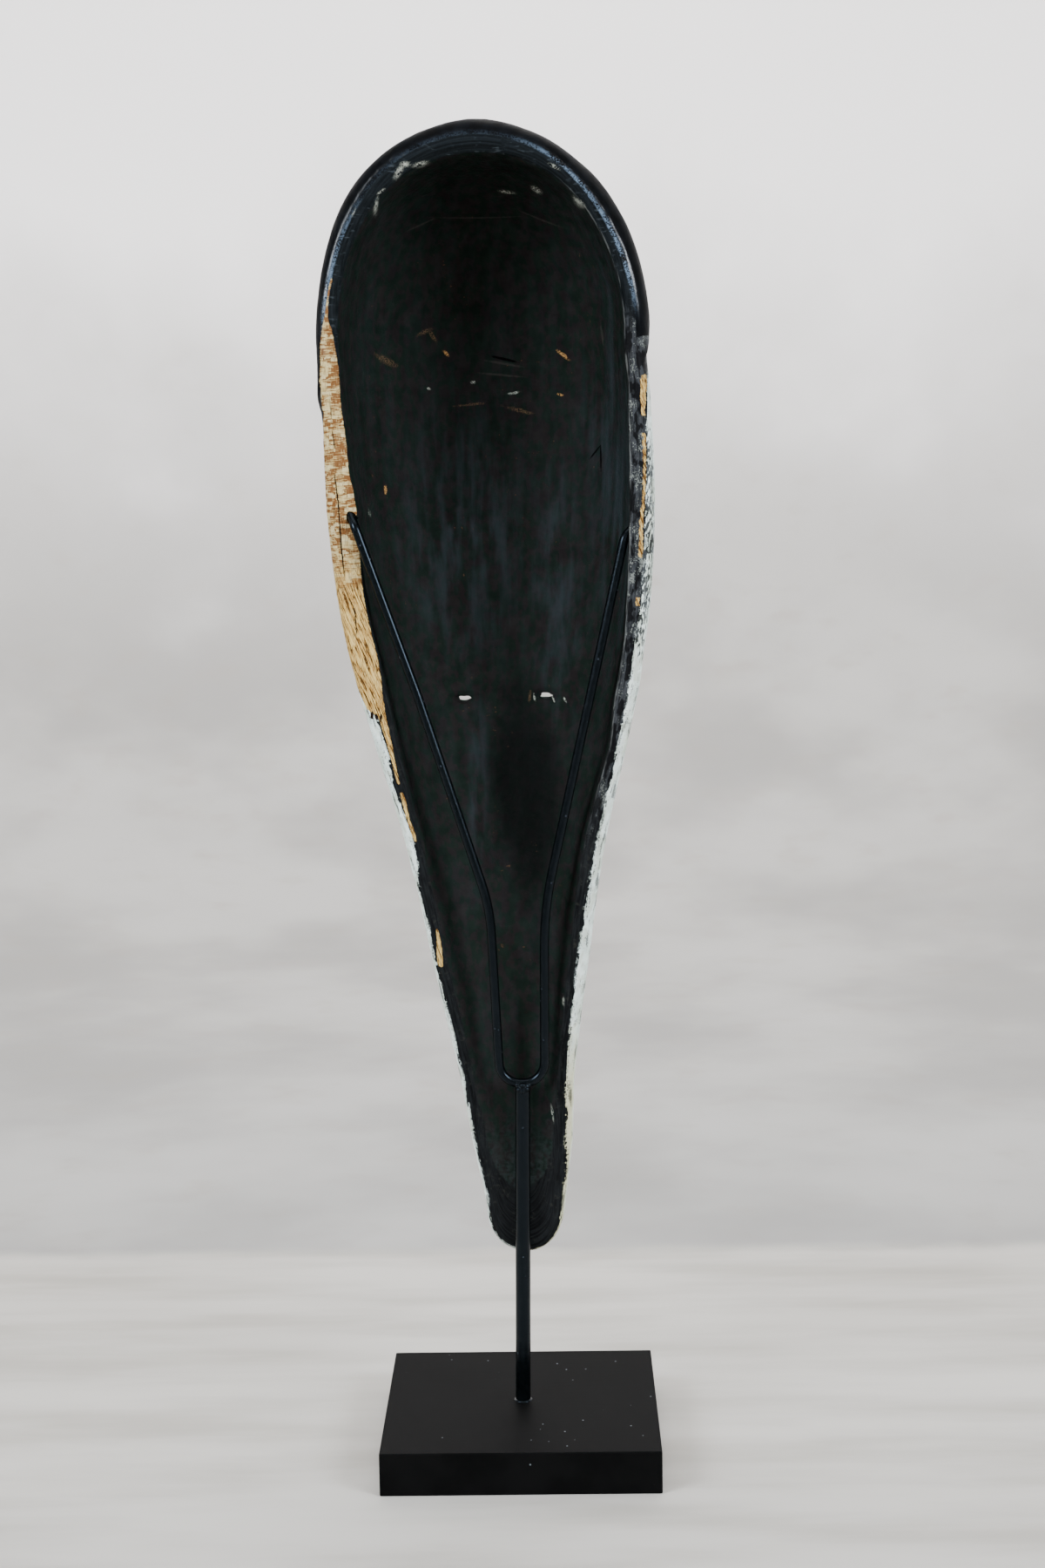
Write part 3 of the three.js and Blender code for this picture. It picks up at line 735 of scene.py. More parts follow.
# how far inside a band a point lies, in millimetres
def insideBand(low, high, v, inward):
    rows = low + high
    start, end = min(row[0] for row in rows), max(row[0] for row in rows)
    across = np.minimum(inward - readTable(low, v), readTable(high, v, -1) - inward)
    return np.minimum(across, np.minimum(v - start, end - v))


def paintFields(local, fields):
    x, v = local[:, 0], local[:, 2]
    inward = fields["inward"]
    left = x < 0
    bands = [(wear["leftBareFrom"], wear["leftBareTo"], left)]
    bands += [(wear[name], wear[name], left) for name in ("leftStrip", "leftPatch")]
    bands += [(wear[name], wear[name], ~left) for name in ("rightStrip", "rightLong", "rightSpeck")]
    bare = np.full(len(x), -20.0)
    for low, high, here in bands:
        bare = np.where(here, np.maximum(bare, insideBand(low, high, v, inward)), bare)
    chalk = np.where(left, readTable(wear["leftChalk"], v), readTable(wear["rightChalk"], v)) - inward
    chalk = np.minimum(chalk, -fields["aboveCap"])
    split = np.where(left, inward - readTable(wear["split"], v), 20)
    heights = [row[0] for row in wear["split"]]
    splitWidth = np.where((v > min(heights)) & (v < max(heights)), readTable(wear["split"], v, 2), -1)
    measures = {**fields, "bare": bare, "chalk": chalk, "split": split}
    paints = {name: np.clip(measures[name], *ends) for name, ends in wear["ranges"].items()}
    return {**paints, "height": v, "splitWidth": splitWidth}


def vertexNormals(points, quads):
    a, b, c, d = (points[quads[:, i]] for i in range(4))
    face = np.cross(c - a, d - b)
    total = np.zeros_like(points)
    for i in range(4):
        np.add.at(total, quads[:, i], face)
    return total / np.maximum(np.linalg.norm(total, axis=1, keepdims=True), 1e-9)


# the knife's marks: size, seed and depth
knife = {
    "broad": ((22, 22, 26), 3, 0.27),
    "stray": (40, 5, 3),
    "acrossCuts": ((26, 26, 7.5), 7, 0.75),
    "downCuts": ((7, 9, 60), 11, 0.4),
    "dents": ((3.2, 5, 6.5), 17, 0.35),
    "nicks": ((6, 6, 9), 23, 3.2),
    "facets": ((9, 9, 17), 29, 0.8),
    "splinters": ((2.2, 5, 9), 31, 0.35),
    "chisel": ((9, 9, 13), 37, 0.16),
    "cutFloor": -0.25,
    "nickFloor": 0.42,
    "upper": (430, 520),  # heights between which cuts down the hollow become cuts across it
    "nicksEnd": (560, 600),
    "nicksAt": (3.5, 5),  # middle and reach, in from the outline
    "split": (1.6, 0.9),  # half width and depth
    # how far in from an edge the marks of a part begin and are whole
    "cutsStart": (0, 8),
    "dentsStart": (-0.5, 1.5),
    "dentsEnd": (-1, 3),
    "bareStart": (-0.5, 1.2),
    "chiselEnd": (-6, 0),
}


# how far the knife went in or left wood standing, along the normal, in millimetres
def reliefOf(local, fields, paints):
    def marks(name, floor=None, shift=0):
        size, seed, depth = knife[name]
        noise = carvedNoise(local + shift, size, seed)
        return (noise if floor is None else np.maximum(noise, floor)) * depth

    v, inward, inHollow = local[:, 2], fields["inward"], fields["inHollow"]
    upper = step(*knife["upper"], v)
    across = marks("acrossCuts", knife["cutFloor"], marks("stray")[:, None])
    cuts = across * upper + marks("downCuts") * (1 - upper)
    relief = marks("broad") + step(*knife["cutsStart"], inHollow) * cuts
    onRim = step(*knife["dentsStart"], inward) * (1 - step(*knife["dentsEnd"], inHollow))
    relief += onRim * marks("dents")
    nicks = marks("nicks", knife["nickFloor"]) - knife["nickFloor"] * knife["nicks"][2]
    middle, reach = knife["nicksAt"]
    relief -= bump((inward - middle) / reach) * nicks * (1 - step(*knife["nicksEnd"], v))
    bare = step(*knife["bareStart"], paints["bare"])
    relief -= bare * (np.abs(marks("facets")) + marks("splinters"))
    half, depth = knife["split"]
    relief -= bare * step(0, 1, paints["splitWidth"] + 0.6) * bump(paints["split"] / half) * depth
    return relief + (1 - step(*knife["chiselEnd"], inward)) * marks("chisel")


def maskPlacement():
    turn = Matrix.Rotation(math.radians(-carving["turnToRight"]), 4, "Z")
    lean = Matrix.Rotation(math.radians(-carving["leanToLeft"]), 4, "Y")
    return Matrix.Scale(0.001, 4) @ Matrix.Translation(carving["chinAt"]) @ turn @ lean


def carveMask(material):
    grid, grids = carveSkin()
    rays, columns = grid.shape[:2]
    flat = grid.reshape(-1, 3)
    keys = np.round(flat * mesh["mergePerMm"]).astype(np.int64)
    _, first, index = np.unique(keys, axis=0, return_index=True, return_inverse=True)
    index = index.reshape(rays, columns)
    following = np.roll(index, -1, axis=0)
    quads = [index[:, :-1], following[:, :-1], following[:, 1:], index[:, 1:]]
    quads = np.stack(quads, axis=-1).reshape(-1, 4)
    local = flat[first]
    fields = {name: values.reshape(-1)[first] for name, values in grids.items()}
    paints = paintFields(local, fields)
    local = local + vertexNormals(local, quads) * reliefOf(local, fields, paints)[:, None]
    bent = np.sort(quads, axis=1)
    whole = (bent[:, 1:] != bent[:, :-1]).all(axis=1)
    faces = quads[whole].tolist()
    for quad in quads[~whole].tolist():
        corners = list(dict.fromkeys(quad))
        if len(corners) == 3:
            faces.append(corners)
    place = np.array(maskPlacement())
    world = local @ place[:3, :3].T + place[:3, 3]
    mask = meshObject("maskCarving", world, faces, material)
    return mask, world, paints


# the paint fields go back onto the cut mesh from the nearest point of the uncut one
def writeFields(mask, world, paints):
    tree = kdtree.KDTree(len(world))
    for i, point in enumerate(world):
        tree.insert(point, i)
    tree.balance()
    nearest = np.array([tree.find(vertex.co)[1] for vertex in mask.data.vertices])
    for name, values in paints.items():
        attribute = mask.data.attributes.get(name) or mask.data.attributes.new(name, "FLOAT", "POINT")
        attribute.data.foreach_set("value", values[nearest].astype(np.float32))


eyes = {
    # depth from the back edge, half width and half height of the slit there
    "slit": [
        (40, 12, 5.2), (52, 9, 3.6), (58, 4.6, 2.1), (64, 3.9, 1.7), (72, 7, 2.1), (80, 10, 2.6),
        (92, 11.5, 3.6),
    ],
    "rag": (0.12, 0.07),  # how far the knife strayed, in three and in five waves round the slit
    "sides": 36,
}


def eyeCutter(side):
    points = []
    sides = eyes["sides"]
    wide, fine = eyes["rag"]
    for depth, across, up in eyes["slit"]:
        for i in range(sides):
            angle = 2 * math.pi * i / sides
            rag = 1 + wide * math.sin(3 * angle + side + depth) + fine * math.sin(5 * angle + 2 * depth)
            x = side * carving["eyeSpread"] + across * rag * math.cos(angle)
            points.append((x, depth, carving["eyeHeight"] + up * rag * math.sin(angle)))
    faces = tubeFaces(len(eyes["slit"]), sides)
    cutter = meshObject("eyeCutter", [maskPlacement() @ Vector(point) for point in points], faces)
    outwards(cutter)
    return cutter


def outwards(made):
    work = bmesh.new()
    work.from_mesh(made.data)
    bmesh.ops.recalc_face_normals(work, faces=work.faces)
    work.to_mesh(made.data)
    work.free()


def cutAway(body, cutters):
    for i, cutter in enumerate(cutters):
        cut = body.modifiers.new(f"cut{i}", "BOOLEAN")
        cut.operation = "DIFFERENCE"
        cut.solver = "MANIFOLD"
        cut.object = cutter
    plain = settled(body)
    for cutter in cutters:
        bpy.data.objects.remove(cutter)
    return plain


stand = {
    "rodRadius": 3,
    "rodSides": 24,
    "rodStep": 2.2,
    "paintLumps": 0.05,
    "postLumps": 0.03,
    "corners": [  # place and bend radius
        ((-104.1, 20, 623), 0), ((-99.1, 9.5, 611), 9), ((-60.4, 5.7, 500.9), 500), ((-16, 0.5, 362.5), 130),
        ((-11.1, 0, 245.1), 14.1), ((18.1, 0, 245.1), 14.1), ((19.5, 0.5, 361.5), 240), ((74.4, 6, 602.3), 9),
        ((84.9, 12, 612.3), 0),
    ],
    "postRadius": 5,
    "postEnds": [(0.63, 0, 10.3), (3.66, 0, 241.7)],
    # the bead of paint round the post's foot: middle, and rows of radius and height over the foot
    "ringMiddle": 0.87,
    "ring": [(4.6, -0.4), (6.3, -0.3), (6.3, 0.25), (5.8, 0.6), (5.2, 0.9), (4.6, 1.0)],
    "ringSides": 48,
    "postEasing": 0.02,  # keeps the post inside its CAD solid
    "socketGap": 0.5,
    "noiseScale": 160,
    "bendSteps": 16,
}


# the fork's middle line: straight stretches joined by round bends
def forkPath():
    spots = [Vector(place) for place, radius in stand["corners"]]
    path = [spots[0]]
    for i in range(1, len(spots) - 1):
        inward = (spots[i - 1] - spots[i]).normalized()
        outward = (spots[i + 1] - spots[i]).normalized()
        turn = math.pi - inward.angle(outward)
        radius = stand["corners"][i][1]
        cut = radius * math.tan(turn / 2)
        pull = cut - 4 / 3 * math.tan(turn / 4) * radius
        a, b, c, d = (spots[i] + way for way in (inward * cut, inward * pull, outward * pull, outward * cut))
        for k in range(stand["bendSteps"] + 1):
            t = k / stand["bendSteps"]
            path.append(a * (1 - t) ** 3 + 3 * b * t * (1 - t) ** 2 + 3 * c * t**2 * (1 - t) + d * t**3)
    path.append(spots[-1])
    return path


# Geometry Nodes: a rod of named radius, sides and step along the object's own curve
def rodNodes():
    tree = bpy.data.node_groups.new("rodAlongPath", "GeometryNodeTree")
    sockets = {"Path": "NodeSocketGeometry", "Radius": "NodeSocketFloat", "Sides": "NodeSocketInt"}
    sockets.update({"Step": "NodeSocketFloat", "Lumps": "NodeSocketFloat", "Finish": "NodeSocketMaterial"})
    for name, kind in sockets.items():
        tree.interface.new_socket(name, in_out="INPUT", socket_type=kind)
    tree.interface.new_socket("Rod", in_out="OUTPUT", socket_type="NodeSocketGeometry")
    kinds = {"start": "NodeGroupInput", "end": "NodeGroupOutput", "resample": "GeometryNodeResampleCurve"}
    kinds.update({"circle": "GeometryNodeCurvePrimitiveCircle", "tube": "GeometryNodeCurveToMesh"})
    kinds.update({"smooth": "GeometryNodeSetShadeSmooth", "lump": "GeometryNodeSetPosition"})
    kinds.update({"noise": "ShaderNodeTexNoise", "centred": "ShaderNodeMath", "amount": "ShaderNodeMath"})
    kinds.update({"normal": "GeometryNodeInputNormal", "shove": "ShaderNodeVectorMath"})
    kinds.update({"real": "GeometryNodeRealizeInstances", "finish": "GeometryNodeSetMaterial"})
    nodes = {name: tree.nodes.new(kind) for name, kind in kinds.items()}
    nodes["resample"].mode = "LENGTH"
    for name, operation in {"centred": "SUBTRACT", "amount": "MULTIPLY", "shove": "SCALE"}.items():
        nodes[name].operation = operation
    nodes["noise"].inputs["Scale"].default_value = stand["noiseScale"]
    nodes["centred"].inputs[1].default_value = 0.5
    nodes["tube"].inputs["Fill Caps"].default_value = True
    links = [  # from a node's output to a node's input
        ("start", "Path", "resample", "Curve"), ("start", "Step", "resample", "Length"),
        ("start", "Sides", "circle", "Resolution"), ("start", "Radius", "circle", "Radius"),
        ("resample", "Curve", "tube", "Curve"), ("circle", "Curve", "tube", "Profile Curve"),
        ("tube", "Mesh", "smooth", "Geometry"), ("smooth", "Geometry", "lump", "Geometry"),
        ("noise", 0, "centred", 0), ("centred", 0, "amount", 0), ("start", "Lumps", "amount", 1),
        ("normal", "Normal", "shove", 0), ("amount", 0, "shove", "Scale"), ("shove", 0, "lump", "Offset"),
        ("lump", "Geometry", "real", "Geometry"), ("real", "Geometry", "finish", "Geometry"),
        ("start", "Finish", "finish", "Material"), ("finish", "Geometry", "end", "Rod"),
    ]
    for giver, output, taker, socket in links:
        tree.links.new(nodes[giver].outputs[output], nodes[taker].inputs[socket])
    return tree


def makeRod(name, tree, path, radius, material, lumps):
    data = bpy.data.curves.new(name, "CURVE")
    data.dimensions = "3D"
    spline = data.splines.new("POLY")
    spline.points.add(len(path) - 1)
    for point, place in zip(spline.points, path):
        point.co = (*(value / 1000 for value in place), 1)
    rod = placed(name, data)
    bend = rod.modifiers.new("rod", "NODES")
    bend.node_group = tree
    sockets = {item.name: item.identifier for item in tree.interface.items_tree if item.in_out == "INPUT"}
    bend[sockets["Radius"]] = radius / 1000
    bend[sockets["Sides"]] = stand["rodSides"]
    bend[sockets["Step"]] = stand["rodStep"] / 1000
    bend[sockets["Lumps"]] = lumps / 1000
    bend[sockets["Finish"]] = material
    return settled(rod)


# a turned shape round an upright line, from (radius, height) rows in millimetres
def turned(name, rows, sides, material=None, middle=0):
    points = []
    for radius, height in rows:
        for i in range(sides):
            angle = 2 * math.pi * i / sides
            across, along = middle + radius * math.cos(angle), radius * math.sin(angle)
            points.append((across / 1000, along / 1000, height / 1000))
    return meshObject(name, points, tubeFaces(len(rows), sides), material)


def joined(name, parts):
    work = bmesh.new()
    for part in parts:
        work.from_mesh(part.data)
    mesh = parts[0].data.copy()
    mesh.name = name
    work.to_mesh(mesh)
    work.free()
    for part in parts:
        bpy.data.objects.remove(part)
    return placed(name, mesh)


weld = {
    # place and radius of each run of molten steel
    "beads": [
        ((3.7, 0, 242.6), 5.0), ((0.4, -1.6, 244.6), 2.3), ((7.2, -1.4, 244.4), 2.4),
        ((1.5, -3.0, 241.6), 2.5), ((5.9, -3.2, 242.0), 2.6), ((3.8, -3.4, 244.4), 2.5),
        ((1.4, 2.6, 242.2), 2.6), ((6.2, 2.6, 242.6), 2.6), ((3.6, -3.9, 240.6), 2.1),
        ((-1.6, -1.0, 245.4), 1.8), ((9.0, -0.8, 245.2), 1.8),
    ],
    "flatness": 0.8,
    "voxel": 0.4,
    "beadLevels": 3,
    "softening": (0.5, 2),  # share and rounds
}


def makeWeld(material):
    work = bmesh.new()
    for place, radius in weld["beads"]:
        spot = Matrix.Translation(Vector(place) / 1000) @ Matrix.Diagonal((1, 1, weld["flatness"], 1))
        bmesh.ops.create_icosphere(work, subdivisions=weld["beadLevels"], radius=radius / 1000, matrix=spot)
    bead = placed("weldBead", meshOf("weldBead", work))
    remesh = bead.modifiers.new("melt", "REMESH")
    remesh.mode = "VOXEL"
    remesh.voxel_size = weld["voxel"] / 1000
    remesh.use_smooth_shade = True
    soften = bead.modifiers.new("soften", "SMOOTH")
    soften.factor, soften.iterations = weld["softening"]
    bead = settled(bead)
    bead.data.materials.clear()
    bead.data.materials.append(material)
    return bead


foot = {
    "half": 90,
    "top": 28,
    "round": 0.9,
    "roundSteps": 3,
    "roundFullness": 0.6,
    "flatArea": 4e-4,  # square metres; only faces under this are shaded smooth
}


def makeFoot(material):
    work = bmesh.new()
    size = Matrix.Diagonal((foot["half"] / 500, foot["half"] / 500, foot["top"] / 1000, 1))
    lift = Matrix.Translation((0, 0, foot["top"] / 2000))
    bmesh.ops.create_cube(work, size=1, matrix=lift @ size)
    easing = {"offset": foot["round"] / 1000, "segments": foot["roundSteps"]}
    bmesh.ops.bevel(work, geom=work.edges[:], profile=foot["roundFullness"], affect="EDGES", **easing)
    mesh = meshOf("footBlock", work)
    mesh.materials.append(material)
    mesh.polygons.foreach_set("use_smooth", [polygon.area < foot["flatArea"] for polygon in mesh.polygons])
    return placed("footBlock", mesh)


# marks on the wood in groups of one tone: middle, half sizes and turn about y
marks = {
    "tan": [
        ((37.0, 102, 722.1), (4.7, 12, 1.1), 39), ((34.6, 103, 695.7), (2.3, 12, 0.9), 18),
        ((-42.2, 113, 724.6), (2.8, 12, 1.0), 50), ((-83.1, 77, 633.6), (3.1, 12, 0.9), 90),
    ],
    "white": [
        ((3.8, 112, 697.6), (4.0, 12, 0.9), -9), ((-24.6, 114, 705.1), (1.5, 12, 1.1), 0),
        ((-54.3, 109, 701.3), (1.2, 12, 0.9), 0), ((-92.6, 59, 619.0), (3.7, 12, 0.9), 80),
        ((14.6, 66, 494), (0.7, 12, 3.0), -12), ((27.1, 59, 493.7), (2.6, 12, 0.6), 66),
        ((34.9, 55, 493.2), (1.9, 12, 0.6), 63), ((31.5, 6, 298.1), (4.0, 12, 1.0), 85),
        ((44.2, 3, 380.9), (5.4, 12, 0.6), 117), ((41.5, 4, 370.2), (6.2, 12, 0.5), 93),
        ((23.1, 6, 222.2), (6.8, 12, 0.7), 82),
    ],
    "brown": [
        ((-56.5, 108, 739.2), (4.9, 12, 1.4), -25), ((-51.1, 111, 736.3), (4.7, 12, 1.4), 63),
        ((-81.7, 90, 719.6), (8.7, 12, 2.3), 28), ((-26.6, 113, 690.2), (10.0, 12, 0.8), -5),
        ((7.2, 110, 685.8), (9.8, 12, 1.3), 15), ((11.6, 66, 494.8), (1.0, 12, 3.4), 8),
    ],
    "ridges": [
        ((-3.6, 114, 717.4), (11.3, 12, 0.8), 11), ((-5.2, 114, 709.8), (13.8, 12, 0.7), 6),
        ((62.9, 75, 733.8), (7.3, 12, 0.7), 83), ((-55.3, 84, 808.4), (9.8, 12, 0.5), -25),
        ((-20.8, 92, 812.6), (26.3, 12, 0.4), 0), ((24.1, 82, 809.6), (14.3, 12, 0.5), 23),
    ],
    "gashes": [
        ((-2.6, 114, 720.3), (9.3, 12, 0.9), 14), ((57.6, 81, 656.7), (6.3, 12, 0.5), -51),
        ((61.2, 76, 652.8), (8.7, 12, 0.5), 90),
    ],
    "crownWear": [
        ((-66.1, 12, 834.3), (5.1, 25, 1.8), -58), ((-62.1, 11, 838.5), (3.6, 25, 1.7), -6),
        ((-52.5, 13, 838.8), (5.0, 25, 1.4), -15), ((-81.7, 15, 813.7), (5.8, 25, 1.0), -72),
        ((-77.8, 13, 822.3), (2.8, 25, 0.8), -36), ((-95.5, 13, 810.4), (3.5, 25, 1.0), -68),
        ((-65.6, 12, 844.6), (3.2, 25, 1.2), -18), ((1.2, 74, 827.1), (5.1, 25, 0.9), 11),
        ((20.7, 61, 826.8), (3.9, 25, 1.3), 31), ((46.9, 7, 813.7), (5.4, 25, 1.4), 40),
        ((32.3, 5, 834.9), (3.9, 25, 1.0), 29),
    ],
    "cracks": [
        ((-110.0, 2, 722.4), (3.6, 9, 0.4), 81), ((-107.1, 2, 669.5), (7.0, 9, 0.6), 73),
        ((-113.4, 2, 661.3), (8.7, 9, 0.5), 73), ((-99.5, 2, 616.6), (5.0, 9, 1.8), 70),
        ((-101.1, 2, 639.6), (4.2, 9, 0.9), 77), ((-91, 9, 488.4), (1.0, 9, 3.2), 4),
        ((-88, 9, 487.3), (1.1, 9, 2.6), -6), ((-85.2, 9, 486.6), (0.8, 9, 3.0), 8),
    ],
    "shine": [((62, 5, 800), (62, 60, 22), 52), ((-102, 5, 760), (44, 60, 18), 105)],
    "splinter": [((-101.5, 2, 614.7), (2.9, 9, 0.6), 49)],
    "dustAndLight": [
        ((-31.7, 96, 604.8), (71, 150, 35.5), 90), ((-23.9, 51, 434.6), (58, 90, 5.2), 92),
        ((31, 77, 563.5), (78, 150, 15.2), 90), ((68, 64, 655), (110, 150, 14), 88),
    ],
    "paintedCavityShade": [((8, 48, 431.5), (66, 90, 22), 88)],
    "flaky": [((90, 5, 590), (24, 60, 76), 0)],
}


def woodPaint():
    paint = Paint("carvedWood")
    rise, mix, fade, noise, blots = paint.rise, paint.mix, paint.fade, paint.noise, paint.blots
    bareIn, chalkIn, inHollow = paint.field("bare"), paint.field("chalk"), paint.field("inHollow")
    inward, height, aboveCap = paint.field("inward"), paint.field("height"), paint.field("aboveCap")
    split, splitWidth, fromRidge = paint.field("split"), paint.field("splitWidth"), paint.field("fromRidge")
    across = paint.node("ShaderNodeSeparateXYZ", {}, {"Vector": paint.place}, 0)
    rightSide = rise(across, -0.001, 0.001)
    alongEdge = {0: inward * 0.001, 1: rightSide * 0.3, 2: height * 0.001}
    onEdge = paint.node("ShaderNodeCombineXYZ", {}, alongEdge)
    fine = noise(0.9)
    small = noise(2.6, detail=3)
    medium = noise(9, detail=3)
    large = noise(42, detail=3)
    streaks = noise(7, (1, 1.4, 14), detail=3)
    scratches = noise(2.2, (3.5, 3.5, 0.7))
    lengthwise = noise(1.3, (1, 1, 11), where=onEdge)
    ragged = (small - 0.5) * 1.3
    inside = rise(inward, -1, 1)

    # inside: near black, dusty along streaks and lighter in soft patches where light falls, which is painted
    # light; painted shade darkens it behind the nose
    dark = mix(rise(medium, 0.3, 0.7), (18, 21, 18), (29, 33, 29))
    patches = noise(4.5, (1, 1, 1.5), detail=3)
    hue = mix(rise(patches, 0.44, 0.56), (12, 28, 22), (33, 25, 28))
    dark = mix(0.5, dark, hue)
    brownish = rise(large, 0.48, 0.62) * rise(small, 0.5, 0.7)
    dark = mix(brownish * 0.5, dark, (28, 22, 19))
    # dust along streaks, partly real dust and partly painted light: lighter in soft patches where light falls
    dustAndLightPatches = blots(marks["dustAndLight"], (large - 0.5) * 1.4, 0.6)
    dustAndLight = (dustAndLightPatches * 0.8 + 0.2) * rise(streaks, 0.36, 0.72) * (0.6 + (large - 0.5))
    dark = mix(dustAndLight, dark, (42, 49, 53))
    # painted shade: the deep trough behind the nose made darker where little light reaches
    paintedCavityShade = blots(marks["paintedCavityShade"], (large - 0.5) * 0.8, 0.4)
    dark = mix(paintedCavityShade * 0.8, dark, (9, 11, 10))
    chinDust = rise(height + (medium - 0.5) * 60, 105, 50) * rise(small, 0.3, 0.7)
    dark = mix(chinDust * 0.7, dark, (42, 49, 48))
    speck = rise(small, 0.66, 0.72) * rise(medium, 0.5, 0.62) * rise(large, 0.5, 0.62)
    dark = mix(speck * 0.6, dark, (84, 62, 44))
    broken = rise(fine, 0.4, 0.56)
    torn = ragged * 1.4 + (fine - 0.5) * 2.4
    dark = mix(blots(marks["ridges"], ragged, 0.5) * 0.38, dark, (62, 58, 54))
    dark = mix(blots(marks["brown"], torn, 0.4) * broken * 0.6, dark, (98, 76, 54))
    dark = mix(blots(marks["gashes"], ragged * 0.6), dark, (2, 2, 2))
    dark = mix(blots(marks["tan"], torn, 0.3) * broken, dark, (176, 132, 80))
    dark = mix(blots(marks["white"], torn, 0.3) * broken * 0.8, dark, (170, 174, 162))

    # the rim: black on the left and below, worn grey on the upper right
    rimDark = mix(rise(lengthwise, 0.3, 0.7), (15, 16, 17), (29, 31, 32))
    rimDark = mix(rise(small, 0.5, 0.7) * rise(medium, 0.45, 0.6) * 0.6, rimDark, (46, 46, 42))
    rimGrey = mix(rise(lengthwise, 0.3, 0.7), (26, 27, 28), (58, 60, 63))
    patchy = noise(4.2, (1, 1, 2.4), detail=3, where=onEdge)
    rimGrey = mix(rise(patchy, 0.51, 0.57) * 0.9, rimGrey, (12, 12, 13))
    rimGrey = mix(rise(patchy + (fine - 0.5) * 0.7, 0.37, 0.32) * 0.65, rimGrey, (130, 134, 128))
    upper = rise(height + (medium - 0.5) * 60, 250, 350)
    crown = rise(aboveCap, 0, 30)
    rimTone = mix(rightSide * upper, rimDark, rimGrey)
    crownTone = mix(rise(lengthwise, 0.3, 0.7), (14, 17, 18), (27, 31, 34))
    rimTone = mix(crown, rimTone, crownTone)
    scrape = rise(scratches, 0.58, 0.7) * rise(medium, 0.42, 0.6) * crown
    rimTone = mix(scrape * 0.3, rimTone, (84, 92, 98))
    # painted highlight: a pale line along the rim's rounded inner edge on the upper right
    paintedEdgeHighlight = rise(inHollow, -1.8, -1.0) * rise(inHollow, 0.5, 0) * rise(lengthwise, 0.45, 0.6)
    rimTone = mix(paintedEdgeHighlight * rightSide * upper * 0.5, rimTone, (112, 114, 112))
    onRim = 1 - rise(inHollow + ragged * 2, -1.2, 1.6)
    colour = mix(onRim, dark, rimTone)
    crownWear = blots(marks["crownWear"], torn * 1.3, 0.5) * rise(fine + small, 0.9, 1.06)
    colour = mix(crownWear * inside * 0.85, colour, (168, 170, 158))

    # chalk-white paint, flaked at its edge and more so on the upper right
    chalkEdge = chalkIn + ragged * 2.4 + (lengthwise - 0.5) * 5 + (fine - 0.5) * 2.4
    chalky = rise(chalkEdge, -0.25, 0.25) * (0.2 + rise(chalkIn, -4.5, -3) * 0.8)
    flaky = blots(marks["flaky"], (large - 0.5) * 0.8, 0.3) * inside
    flakes = noise(2.4, (0.7, 0.7, 1.9), detail=3, turn=14)
    chalky = chalky * (1 - rise(flakes + flaky * 0.2, 0.67, 0.71) * 0.95)
    nearRim = rise(inward, -12, -6)
    chalky = chalky * (1 - rise(lengthwise + (fine - 0.5) * 0.5, 0.58, 0.65) * nearRim * 0.75)
    chalkTone = mix(rise(medium, 0.35, 0.7), (230, 241, 235), (206, 218, 211))
    chalkTone = mix(rise(patchy, 0.46, 0.6) * nearRim * 0.6, chalkTone, (184, 192, 176))
    chalkTone = mix(rise(large, 0.5, 0.75) * 0.3, chalkTone, (196, 192, 168))
    cream = (1 - rise(height + (medium - 0.5) * 60, 110, 170)) * inside * rightSide
    chalkTone = mix(cream * 0.8, chalkTone, (196, 190, 150))
    colour = mix(chalky, colour, chalkTone)

    # the cap: black stain, polished by hands, with a painted bluish highlight along the crown's ridge
    capBlack = mix(rise(medium, 0.35, 0.7), (6, 7, 8), (12, 14, 17))
    capped = rise(aboveCap + (fine - 0.5) * 0.8, -0.2, 0.4) * rise(fromRidge + ragged, 0.6, -0.6)
    ridge = rise(fromRidge, -3.6, -2.4) * rise(fromRidge + ragged, 1.4, 0) * rise(aboveCap, 8, 30)
    colour = mix(capped, colour, capBlack)
    shine = blots(marks["shine"], soft=0.5)
    # painted highlight: bluish-white light along the rim's rounded ridge, strongest within the shine marks
    paintedRidgeHighlight = ridge * rise(fromRidge + ragged, -2.8, -0.4) * rise(fine + (medium - 0.5) * 0.7, 0.36, 0.62)
    colour = mix(paintedRidgeHighlight * (0.06 + shine * 0.55), colour, (120, 142, 166))
    polished = rise(inward, -18, -30) * capped

